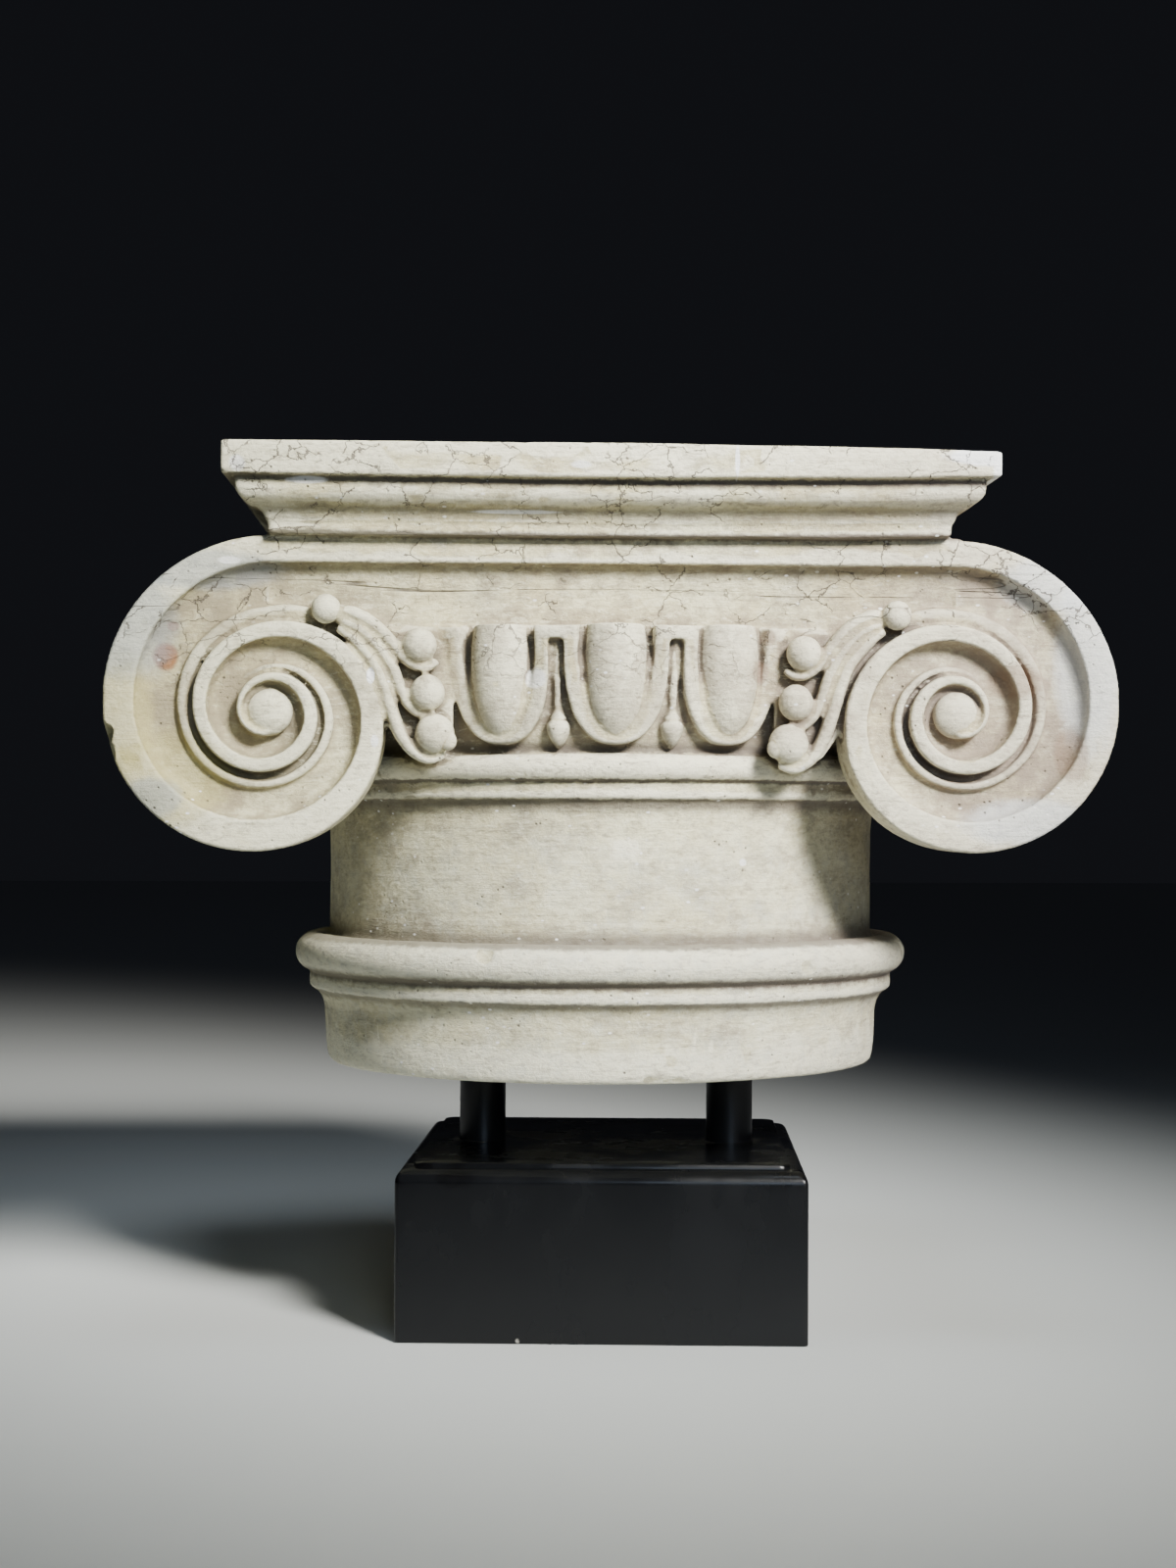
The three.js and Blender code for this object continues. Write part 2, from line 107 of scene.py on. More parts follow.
def lattice(cell, seed):
    """A steady pseudo-random number in -1..1 for each whole-number cell."""
    n = (
        cell[..., 0] * np.uint32(374761393)
        + cell[..., 1] * np.uint32(668265263)
        + cell[..., 2] * np.uint32(2147483647)
        + np.uint32(seed * 362437)
    )
    n = (n ^ (n >> np.uint32(13))) * np.uint32(1274126177)
    n = n ^ (n >> np.uint32(16))
    return n.astype(np.float64) / 2147483648.0 - 1.0


def value_noise(points, size, seed):
    """Smooth noise in -1..1 with features of about one size."""
    place = points / size
    cell = np.floor(place)
    w = place - cell
    w = w * w * (3 - 2 * w)
    cell = cell.astype(np.int64).astype(np.uint32)
    total = np.zeros(len(points))
    for corner in range(8):
        step = np.array([corner & 1, (corner >> 1) & 1, corner >> 2], np.uint32)
        weight = np.prod(np.where(step == 1, w, 1 - w), axis=1)
        total += weight * lattice(cell + step, seed)
    return total


def fractal(points, size, seed, octaves=3):
    return sum(
        value_noise(points, size / 2**k, seed + k) / 2**k for k in range(octaves)
    ) / (2 - 0.5 ** (octaves - 1))


# ---- closed shapes as (vertices, triangles) -----------------------------------------------------


def loft(rings, hubs=None):
    """A closed shape through rings of points, capped by a fan from a hub point at each end."""
    rings = np.asarray(rings, float)
    count, size = rings.shape[:2]
    here = np.arange(count * size).reshape(count, size)
    after = np.roll(here, -1, axis=1)
    a, b, c, d = here[:-1].ravel(), after[:-1].ravel(), after[1:].ravel(), here[1:].ravel()
    if hubs is None:
        hubs = [rings[0].mean(0), rings[-1].mean(0)]
    first, last = count * size, count * size + 1
    triangles = np.concatenate(
        [
            np.stack([a, b, c], 1),
            np.stack([a, c, d], 1),
            np.stack([after[0], here[0], np.full(size, first)], 1),
            np.stack([here[-1], after[-1], np.full(size, last)], 1),
        ]
    )
    vertices = np.concatenate([rings.reshape(-1, 3), np.asarray(hubs, float)])
    return outward(vertices, triangles)


def outward(vertices, triangles):
    corners = vertices[triangles]
    volume = np.einsum("ij,ij->i", corners[:, 0], np.cross(corners[:, 1], corners[:, 2])).sum()
    return (vertices, triangles if volume > 0 else triangles[:, ::-1])


def turned(profile, segments=320):
    """A shape turned about Z from a profile of (radius, z), whose two ends close on the axis."""
    profile = np.asarray(profile, float)
    angle = np.arange(segments) * TURN / segments
    rings = [
        np.stack([r * np.cos(angle), r * np.sin(angle), np.full(segments, z)], 1) for r, z in profile
    ]
    hubs = [[0, 0, profile[0][1]], [0, 0, profile[-1][1]]]
    return loft(rings, hubs)


def ellipsoid(centre, half, around=40, along=24):
    up = np.linspace(-math.pi / 2, math.pi / 2, along + 2)[1:-1]
    angle = np.arange(around) * TURN / around
    rings = np.stack(
        [
            np.outer(np.cos(up), np.cos(angle)) * half[0],
            np.outer(np.cos(up), np.sin(angle)) * half[1],
            np.outer(np.sin(up), np.ones(around)) * half[2],
        ],
        -1,
    )
    poles = np.array([[0, 0, -half[2]], [0, 0, half[2]]], float)
    vertices, triangles = loft(rings, poles)
    return vertices + np.asarray(centre, float), triangles


def turn_z(vertices, angle):
    c, s = math.cos(angle), math.sin(angle)
    return vertices @ np.array([[c, s, 0], [-s, c, 0], [0, 0, 1]])


def tube(path, radius, depth_scale=1.0, sides=14):
    """A bar along a path in the XZ plane: radius holds one number per point, ends are rounded."""
    path, radius = np.asarray(path, float), np.asarray(radius, float)
    along = np.gradient(path, axis=0)
    along /= np.linalg.norm(along, axis=1, keepdims=True)
    forward = np.array([0, -1.0, 0])
    across = np.cross(along, forward)
    angle = np.arange(sides) * TURN / sides
    rings = [
        p + r * (np.outer(np.cos(angle), x) + depth_scale * np.outer(np.sin(angle), forward))
        for p, r, x in zip(path, radius, across)
    ]
    return loft(rings)


def smooth_path(points, steps):
    """A curve through points, with its own smooth spacing."""
    points = np.asarray(points, float)
    place = np.concatenate([[0], np.cumsum(np.linalg.norm(np.diff(points, axis=0), axis=1))])
    slope = np.gradient(points, place, axis=0)
    at = np.linspace(0, place[-1], steps)
    i = np.clip(np.searchsorted(place, at, side="right") - 1, 0, len(points) - 2)
    h = (place[i + 1] - place[i])[:, None]
    t = (at - place[i])[:, None] / h
    return (
        (2 * t**3 - 3 * t**2 + 1) * points[i]
        + (t**3 - 2 * t**2 + t) * h * slope[i]
        + (3 * t**2 - 2 * t**3) * points[i + 1]
        + (t**3 - t**2) * h * slope[i + 1]
    )


def mirrored_x(shape):
    vertices, triangles = shape
    return vertices * [-1, 1, 1], triangles[:, ::-1]


def to_back(shape):
    vertices, triangles = shape
    return vertices * [-1, -1, 1], triangles


def drawn_in(points, scale):
    """Points of the left side, scaled about the outer top corner of the back volute."""
    corner = np.array([BACK_CORNER_X, 0, SCROLL_TOP])
    return (points - corner) * [scale, 1, scale] + corner


def to_back_corner(shape):
    """A shape of the left front corner as it is, a little smaller, at the left back corner."""
    vertices, triangles = shape
    return drawn_in(vertices * [1, -1, 1], BACK_SCALE), triangles[:, ::-1]


def arc(centre_r, centre_z, radius, start, end, steps):
    angle = np.radians(np.linspace(start, end, steps))
    return [(centre_r + radius * math.cos(a), centre_z + radius * math.sin(a)) for a in angle]


# ---- the turned body ----------------------------------------------------------------------------


def shaft():
    profile = [
        (138.6, BASE_Z), (140.4, BASE_Z + 1.2), (141.4, BASE_Z + 4), (142.2, 140), (142.8, 150),
        (143.2, 157), (144.2, 161), (146.2, 164.4), (148.8, 166.6), (150.2, 167.3), (150.9, 168.2),
        (151.1, 171), (150.8, 174.9), (149.4, 175.6),
        *arc(148.4, 185.3, 9.9, -84, 128, 20),
        (141.2, 194.2), (140.7, 197), (140.4, 225), (140.7, 248), (141.6, 256), (143.6, 261.6),
        (145.4, 262.6), (146.9, 263.2), (147.3, 264.5), (147.3, 269.6), (146.4, 270.8),
        *arc(147.0, 277.4, 6.5, -84, 84, 14),
        (147.4, 284.4), (147.2, 286.0), (148.4, 290), (150.6, 300), (152.8, 312), (154.4, 326),
        (155.0, CHANNEL_BOTTOM + 0.5),
    ]
    return turned(profile)


def rounded_square(half, radius, z, steps=8):
    """A level ring: a square with rounded corners."""
    ring = []
    for corner in range(4):
        middle = (corner + 0.5) * TURN / 4
        reach = (half - radius) * math.sqrt(2)
        for i in range(steps + 1):
            angle = TURN / 4 * (corner + i / steps)
            ring.append(
                (
                    reach * math.cos(middle) + radius * math.cos(angle),
                    reach * math.sin(middle) + radius * math.sin(angle),
                    z,
                )
            )
    return ring


ABACUS_STRETCH_X, ABACUS_SHIFT_X = 1.008, -2.0
ABACUS_HALF, ABACUS_CORNER = 176.0, 1.6


def abacus():
    profile = [
        (175.2, TOP_Z), (175.8, TOP_Z - 0.5), (176.0, TOP_Z - 1.3), (176.0, 408.9), (175.6, 408.1),
        (174.8, 407.9), (170.6, 407.9), (170.2, 407.4), (170.1, 403.2), (169.6, 400.8), (168.3, 398.8),
        (166.0, 397.1), (163.0, 395.7), (160.7, 394.7), (159.0, 393.0), (158.2, 391.2), (158.0, 389.9),
        (157.1, 389.2), (156.6, 388.0), (156.6, 384.0), (156.2, 383.3), (155.4, 383.0), (148.4, 383.0),
        (148.0, 378.0),
    ]
    rings = []
    for half, z in profile:
        # Each side also gets points along its length, so that it can bow.
        corners = np.array(rounded_square(half, ABACUS_CORNER, z, 4))
        full = []
        for point, after in zip(corners, np.roll(corners, -1, axis=0)):
            full.append(point)
            if np.linalg.norm(after - point) > 50:
                full += [point + (after - point) * k / 16 for k in range(1, 16)]
        rings.append(full)
    vertices, triangles = loft(rings)
    # It was pressed by hand: the lower edges bow up at the ends, and the right end's top droops.
    share = (vertices[:, 0] / ABACUS_HALF) ** 2 * (np.abs(vertices[:, 1]) > 100)
    right = vertices[:, 0] > 0
    high = smoothstep(407, TOP_Z, vertices[:, 2])
    lower, upper = np.where(right, 2.1, 1.1) * share, np.where(right, -2.3, 0.0) * share
    vertices[:, 2] += lower * (1 - high) + upper * high
    vertices[:, 0] = vertices[:, 0] * ABACUS_STRETCH_X + ABACUS_SHIFT_X
    return vertices, triangles


# ---- channel, volutes and bolsters --------------------------------------------------------------


BEAD_RISE = 6.2
CHANNEL_DEPTH, RIM_STEP = 10.8, 3.2  # how deep the channel lies, and the upright edge of its rim


def cove(depth, power, steps):
    """Shares across a channel and its depth there: steep below the rim, level towards the middle."""
    t = np.linspace(0, 1, steps)
    return t, depth * (1 - (1 - t) ** power) ** (1 / power)


def channel_bar(scale, end_x):
    """The straight channel between two volutes, with its upper rim."""
    rim_bottom = SCROLL_TOP - scale * SPIRAL_RADII[0] * RIM_SHARE[0]
    t, depth = cove(CHANNEL_DEPTH - RIM_STEP, 2.0, 12)
    floor = np.stack([rim_bottom - 0.1 - t * (rim_bottom - CHANNEL_BOTTOM - 6), depth + RIM_STEP], 1)
    section = [(SCROLL_TOP + up, deep) for up, deep in ((0.9, 40), (0.9, 0.7), (0.3, 0.1), (-0.6, 0))]
    section += [(rim_bottom + 0.8, 0), (rim_bottom + 0.1, 0.5)]
    section += [tuple(p) for p in floor] + [(CHANNEL_BOTTOM, CHANNEL_DEPTH + 0.3), (CHANNEL_BOTTOM - 2, 40)]
    section = np.array(section)
    rings = [
        np.stack([np.full(len(section), x), section[:, 1] - FACE_Y, section[:, 0]], 1)
        for x in np.linspace(-end_x - 1, end_x + 1, 12)
    ]
    hub_y, hub_z = 38 - FACE_Y, 362  # a point inside the section
    return loft(rings, [[-end_x - 1, hub_y, hub_z], [end_x + 1, hub_y, hub_z]])


def channel_body():
    """What lies behind both channels, under the abacus."""
    section = [(-130, 339), (130, 339), (130, 384.5), (-130, 384.5)]
    return loft([[(x, y, z) for y, z in section] for x in (-EYE_X, EYE_X)])


def on_spiral(turn, radius, y):
    """Points at one place of the left front volute's spiral, at distances from its eye."""
    return np.stack([-EYE_X - radius * math.sin(turn), y, EYE_Z + radius * math.cos(turn)], 1)


def spiral_strip():
    """One loft along the spiral of the left front volute: rim, cove, bead and groove, to the next turn."""
    end = TURN / 4 * (len(SPIRAL_RADII) - 1)
    turns = np.linspace(0, end - 0.02, 330)
    back = 34.0
    rings, hubs = [], []
    for turn in turns:
        outer = float(per_quarter(SPIRAL_RADII, turn))
        rim = outer * (1 - float(per_quarter(RIM_SHARE, turn)))
        following = turn + TURN
        inner = float(per_quarter(SPIRAL_RADII, following)) if following < end else EYE_RADIUS
        bead_fade = float(1 - smoothstep(end - 0.6 * TURN, end - 0.2 * TURN, following))
        has_bead = bead_fade > 0
        bead_out = inner * (1 + (float(per_quarter(BEAD_OUTER, following)) - 1) * has_bead)
        bead_in = inner * (1 + (float(per_quarter(BEAD_INNER, following)) - 1) * has_bead)
        bead_out = max(min(bead_out, rim - 1.0), inner)
        bead_in = min(bead_in, bead_out - 0.3)
        scale = min(1.0, (rim - bead_out) / 17 + 0.42)
        step, depth = RIM_STEP * scale, CHANNEL_DEPTH * scale
        t, cove_depth = cove(depth - step, 2.0, 12)
        section = [(outer, back), (outer, 1.0), (outer - 0.3, 0.3), (outer - 0.9, 0)]
        section += [(rim + 0.7, 0), (rim + 0.1, 0.4)]
        section += [(rim + (bead_out - rim) * a, step + d) for a, d in zip(t, cove_depth)]
        middle, half = (bead_out + bead_in) / 2, (bead_out - bead_in) / 2
        rise = BEAD_RISE * scale * bead_fade
        for u in np.linspace(-1, 1, 10):
            section.append((middle - half * u, depth + 0.1 - rise * (1 - u**4) ** 0.5))
        groove = depth + 0.2 * bead_fade
        section += [(bead_in - 0.1, groove), (inner + 0.1, groove + 0.2), (inner - 1.4, groove + 0.4)]
        section += [(inner - 1.4, back)]
        section = np.array(section)
        rings.append(on_spiral(turn, section[:, 0], section[:, 1] - FACE_Y))
        middle = (outer + inner) / 2
        hubs.append(
            [-EYE_X - middle * math.sin(turn), back - 1 - FACE_Y, EYE_Z + middle * math.cos(turn)]
        )
    return loft(rings, [hubs[0], hubs[-1]])


def bead_root():
    """The bead's start, from the bud to where the spiral strip takes it over."""
    rings = []
    for turn in np.linspace(math.radians(327), math.radians(364), 16):
        rim = float(per_quarter(SPIRAL_RADII, turn))
        outer, inner = rim * BEAD_OUTER[4], rim * BEAD_INNER[4]
        middle, half = (outer + inner) / 2, (outer - inner) / 2
        across = np.linspace(1, -1, 12)
        radius = middle + half * np.concatenate([[1], across, [-1]])
        crest = CHANNEL_DEPTH - BEAD_RISE * (1 - across**4) ** 0.5
        depth = np.concatenate([[20], crest, [20]])
        rings.append(on_spiral(turn, radius, depth - FACE_Y))
    return loft(rings)


def eye():
    return ellipsoid((-EYE_X, 5.4 - FACE_Y, EYE_Z), (EYE_RADIUS + 0.3, 6.8, EYE_RADIUS + 0.3))


def bolster():
    """The left bolster: the volute's outline, drawn in to a waist and bound by a belt of three rolls."""
    stations = [(141.0, 0.992), (133.6, 1.0), (132.2, 0.985), (131.0, 0.955)]
    for t in np.linspace(0, 1, 22)[1:]:
        y = 131.0 - t * 105
        stations.append((y, 0.955 - 0.215 * (1 - (1 - t) ** 2.2)))
    belt = [(25.0, 0.745), (24.0, 0.765), (19.5, 0.772), (18.4, 0.75)]
    for centre, width, height in ((11.0, 6.6, 0.05), (0.0, 4.0, 0.03)):
        for u in np.linspace(1, -1, 9):
            if centre == 0 and u < 0:
                continue
            belt.append((centre + width * u, 0.75 + height * math.sqrt(max(0, 1 - u * u))))
    stations += belt
    stations += [(-y, s) for y, s in reversed(stations) if y > 0.01]
    rings = []
    turns = np.linspace(0, TURN, 160)
    radius = per_quarter(SPIRAL_RADII, turns)
    for y, scale in stations:
        away = scale * radius
        ring = [-EYE_X - away * np.sin(turns), np.full(len(turns), -y), EYE_Z + away * np.cos(turns)]
        rings.append(drawn_in(np.stack(ring, 1), 1 - (1 - BACK_SCALE) * (FACE_Y - y) / (2 * FACE_Y)))
    return loft(rings)


# ---- echinus: eggs, frames and darts ------------------------------------------------------------

EGG_PITCH, EGG_BOTTOM, EGG_HALF_WIDTH = math.radians(20), 290.8, 14.9
ECHINUS_RADIUS = 163.0  # at the crest of the frames


def on_echinus(angle, radius, z):
    return np.stack(
        [radius * np.sin(angle), -radius * np.cos(angle), z * np.ones_like(np.asarray(angle, float))], -1
    )


def egg(place, grow=1.0):
    """A pointed-down egg, cut level where the channel starts."""
    angle, widest = place * EGG_PITCH, 0.66
    rings = []
    heights = np.concatenate([np.linspace(0.004, 0.1, 7), np.linspace(0.13, 1, 30)])
    for share in heights:
        z = EGG_BOTTOM + (CHANNEL_BOTTOM + 0.6 - EGG_BOTTOM) * share
        width = EGG_HALF_WIDTH * grow
        if share < widest:
            width *= (1 - abs(1 - share / widest) ** 2.35) ** (1 / 2.1)
        else:
            width *= 1 - 0.13 * ((share - widest) / (1 - widest)) ** 2.0
        around = np.arange(44) * TURN / 44
        centre = 151.2 + 3.2 * share
        depth = 13.6 * (width / EGG_HALF_WIDTH) ** 0.9
        local = np.stack([width * np.sin(around), -depth * np.cos(around), np.zeros(44)], 1)
        rings.append(turn_z(local, angle) + on_echinus(angle, centre, z))
    return loft(rings)


def frame_ridge(place):
    """The U-shaped ridge that holds an egg, level with its neighbours under the channel."""
    middle = place * EGG_PITCH
    # Across the ridge from its outer to its inner edge: share of the width, and depth below the crest.
    section = [(0, 16), (0, 0.9), (0.08, 0.2), (0.25, 0), (0.75, 0.2), (0.95, 0.8), (1.02, 3), (1.1, 16)]
    rings = []
    for t in np.linspace(-1, 1, 61):
        a = t * math.pi / 2
        side, down = np.sign(a) * abs(math.sin(a)) ** (2 / 2.35), math.cos(a) ** (2 / 2.35)
        end = abs(t) > 0.995
        outer_x, inner_x = 25.0 * side, 17.9 * np.sign(a) * abs(math.sin(a)) ** 1.3
        outer_z = CHANNEL_BOTTOM if end else 330.0 - 42.2 * down
        inner_z = CHANNEL_BOTTOM if end else 334.0 - 42.6 * math.cos(a)
        lean = (outer_z - 288) / 53
        reach = 156.2 + 7.0 * lean

        def at(share, radius):
            x = outer_x + (inner_x - outer_x) * share
            z = outer_z + (inner_z - outer_z) * share
            return on_echinus(middle + x / ECHINUS_RADIUS, radius, z)

        rings.append([at(share, reach - drop) for share, drop in section])
    return loft(np.array(rings).reshape(61, len(section), 3))


def tie(place):
    """The flat bar that joins two frames under the channel."""
    angles = place * EGG_PITCH + np.linspace(-5.5, 5.5, 7) / ECHINUS_RADIUS
    section = [(146.0, CHANNEL_BOTTOM), (162.9, CHANNEL_BOTTOM)]
    section += [(162.9, 336.9), (162.3, 336.3), (146.0, 336.0)]
    return loft([[on_echinus(np.array(a), radius, z) for radius, z in section] for a in angles])


def dart(place):
    """A thin shaft between two frames, with a collar and a pointed drop at its foot."""
    angle = place * EGG_PITCH
    rings = []
    for z, width, reach in (
        (338.0, 2.0, 158.0), (334.0, 2.0, 158.0), (318.0, 1.9, 156.8), (304.5, 1.7, 154.6),
        (301.5, 3.2, 155.2), (299.8, 4.4, 155.6), (298.9, 3.9, 155.2), (297.6, 5.3, 156.6),
        (295.6, 5.6, 157.0), (292.6, 4.9, 156.4), (289.4, 3.2, 154.6), (287.0, 1.5, 152.6),
        (286.0, 0.5, 151.0),
    ):
        around = np.arange(16) * TURN / 16
        deep = 3.2 if width < 2.2 else width + 1.0
        local = np.stack([width * np.cos(around), -deep * np.sin(around), np.zeros(16)], 1)
        rings.append(turn_z(local, angle) + on_echinus(angle, reach - deep, z))
    shaft_back = loft(
        [
            turn_z(np.array([[-1.9, -140, z], [1.9, -140, z], [1.5, -reach, z], [-1.5, -reach, z]]), angle)
            for z, reach in ((338, 157.6), (318, 156.4), (303, 154.0))
        ]
    )
    return [loft(rings), shaft_back]


# ---- half palmettes -----------------------------------------------------------------------------

STEMS = [
    ([(-127.5, 347.2), (-123, 348.6), (-116.7, 346.4), (-108.4, 340.9), (-101, 333.2), (-95.5, 326.8),
      (-90, 323.4), (-84.5, 323.6), (-80.8, 326.2)], [2.3, 3.2, 3.3, 3.1, 2.9, 2.7, 2.4, 2.1, 1.5]),
    ([(-127.5, 346.2), (-123.5, 344.2), (-116.8, 340.8), (-108.6, 332.8), (-102.2, 323.6), (-97.9, 313.0),
      (-93.8, 305.2), (-88.4, 301.2), (-82.6, 301.6)], [2.3, 3.2, 3.2, 3.1, 3.0, 2.9, 2.7, 2.2, 1.5]),
    ([(-127.0, 341.4), (-122.5, 338.6), (-116.8, 333.2), (-110.2, 324.6), (-105.6, 313.8), (-102.0, 302.4),
      (-97.6, 291.6), (-91.4, 283.6), (-84.2, 280.4), (-77.6, 282.6)],
     [2.0, 3.0, 3.2, 3.3, 3.4, 3.5, 3.5, 3.0, 2.3, 1.4]),
]


def carving(last):
    """Eggs in their frames from -last to last, with ties and darts between them."""
    shapes = []
    for place in range(-last, last + 1):
        shapes += [egg(place, 1.0 if place == 0 else 0.985), frame_ridge(place)]
    for place in np.arange(-last - 0.5, last + 1):
        shapes.append(tie(place))
        if abs(place) < last:
            shapes += dart(place)
    return shapes


def palmette(left):
    """Bud, three stems and three balls. The two sides differ a little, as modelled by hand."""
    sink, drift = (0.0, -1.2) if left else (1.0, 1.2)
    balls = [
        ((-132.6, 348.6 + 1.4 * (1 - sink)), 6.9, 6.9, -148.6),
        ((-89.4, 333.6 - 3.0 * sink), 8.1, 8.1, -147.0),
        ((-85.6, 311.4 - 3.8 * sink), 8.1, 8.6, -147.2),
        ((-82.2, 292.6 - 4.0 * sink), 9.3, 9.3, -146.6),
    ]
    shapes = [ellipsoid((x, y, z), (r, r * 0.98, h)) for (x, z), r, h, y in balls]
    shapes.append(ellipsoid((-76.0, -149.5, 289.2 - 3 * sink), (4.2, 4.0, 4.6)))
    for number, (points, radii) in enumerate(STEMS):
        path = smooth_path(points, 60)
        place = np.linspace(0, 1, 60)
        radius = np.interp(place, np.linspace(0, 1, len(radii)), radii)
        drop = smoothstep(0.25, 1.0, place) * (3.4, 5.0, 4.0)[number] * sink
        depth = -146.2 + 0.8 * smoothstep(0.5, 1, place)
        line = np.stack([path[:, 0], depth, path[:, 1] - drop], 1)
        shapes.append(tube(line, radius, depth_scale=1.45))
    return [(vertices + [drift, 0, 0], triangles) for vertices, triangles in shapes]


WEB = [
    (-137, 342), (-134, 349.5), (-128, 352.6), (-120, 351.6), (-111, 347.0), (-102, 341.0), (-97, 342.2),
    (-77, 342.8), (-75, 337), (-75, 292), (-79, 283), (-88, 279.6), (-98, 286), (-106, 297), (-113.5, 307),
    (-118.5, 317), (-128, 331.5),
]


def web(left):
    """The ground behind the palmette, standing a little forward of the channel's floor."""
    outline = np.array(WEB, float)
    if not left:
        outline[:, 1] -= 3.5 * smoothstep(330, 300, outline[:, 1])
    rings = []
    for y, shrink in ((-100, 0.0), (-140.0, 0.0), (-140.8, 0.6)):
        middle = outline.mean(0)
        away = outline - middle
        length = np.linalg.norm(away, axis=1, keepdims=True)
        flat = middle + away * (1 - shrink / length)
        rings.append(np.stack([flat[:, 0], np.full(len(flat), y), flat[:, 1]], 1))
    return loft(rings)


# ---- the casting --------------------------------------------------------------------------------


def capital_shapes():
    """Every closed shape that the casting is the union of."""
    volute = [spiral_strip(), bead_root(), eye()]
    left_front = volute + palmette(True) + [web(True)]
    left_back = [to_back_corner(s) for s in left_front]
    right_front = volute + palmette(False) + [web(False)]
    mirrored = [mirrored_x(s) for s in right_front + left_back + [bolster()]]
    back_eye_x = -BACK_CORNER_X - BACK_SCALE * (-BACK_CORNER_X - EYE_X)
    middle = [shaft(), abacus(), channel_body(), channel_bar(1, EYE_X), bolster()]
    middle.append(to_back(channel_bar(BACK_SCALE, back_eye_x)))
    return left_front + left_back + mirrored + middle + carving(1) + [to_back(s) for s in carving(2)]


def new_mesh(name, vertices, triangles):
    mesh = bpy.data.meshes.new(name)
    mesh.vertices.add(len(vertices))
    mesh.vertices.foreach_set("co", np.asarray(vertices, np.float32).ravel())
    mesh.loops.add(3 * len(triangles))
    mesh.loops.foreach_set("vertex_index", np.asarray(triangles, np.int32).ravel())
    mesh.polygons.add(len(triangles))
    mesh.polygons.foreach_set("loop_start", np.arange(0, 3 * len(triangles), 3, dtype=np.int32))
    mesh.update(calc_edges=True)
    return mesh


def new_object(name, mesh):
    piece = bpy.data.objects.new(name, mesh)
    bpy.context.scene.collection.objects.link(piece)
    return piece


def joined(shapes):
    starts = np.cumsum([0] + [len(v) for v, _ in shapes[:-1]])
    vertices = np.concatenate([v for v, _ in shapes])
    triangles = np.concatenate([t + s for (_, t), s in zip(shapes, starts)])
    return vertices, triangles


def with_modifier(piece, kind, **settings):
    """Runs one modifier on a piece and keeps its result."""
    modifier = piece.modifiers.new("step", kind)
    for key, value in settings.items():
        setattr(modifier, key, value)
    evaluated = piece.evaluated_get(bpy.context.evaluated_depsgraph_get())
    mesh = bpy.data.meshes.new_from_object(evaluated)
    piece.modifiers.clear()
    old = piece.data
    piece.data = mesh
    bpy.data.meshes.remove(old)
    return piece


def read(items, name, width, kind=np.float32):
    values = np.empty(len(items) * width, kind)
    items.foreach_get(name, values)
    return values.reshape(-1, width)


def points_of(mesh):
    return read(mesh.vertices, "co", 3).astype(np.float64)


def normals_of(mesh):
    return read(mesh.vertices, "normal", 3).astype(np.float64)


def edges_of(mesh):
    return read(mesh.edges, "vertices", 2, np.int32)


def set_points(mesh, points):
    mesh.vertices.foreach_set("co", points.astype(np.float32).ravel())
    mesh.update()


def neighbour_mean(values, edges, count):
    total = np.zeros_like(values)
    for axis in range(values.shape[1]):
        column = values[:, axis]
        total[:, axis] = np.bincount(edges[:, 0], column[edges[:, 1]], count)
        total[:, axis] += np.bincount(edges[:, 1], column[edges[:, 0]], count)
    degree = np.bincount(edges.ravel(), minlength=count)
    return total / np.maximum(degree, 1)[:, None]


def relaxed(points, edges):
    """Points smoothed and then pushed part of the way back, which keeps their volume."""
    for step in (0.5, -0.53 * 0.5):
        points = points + step * (neighbour_mean(points, edges, len(points)) - points)
    return points


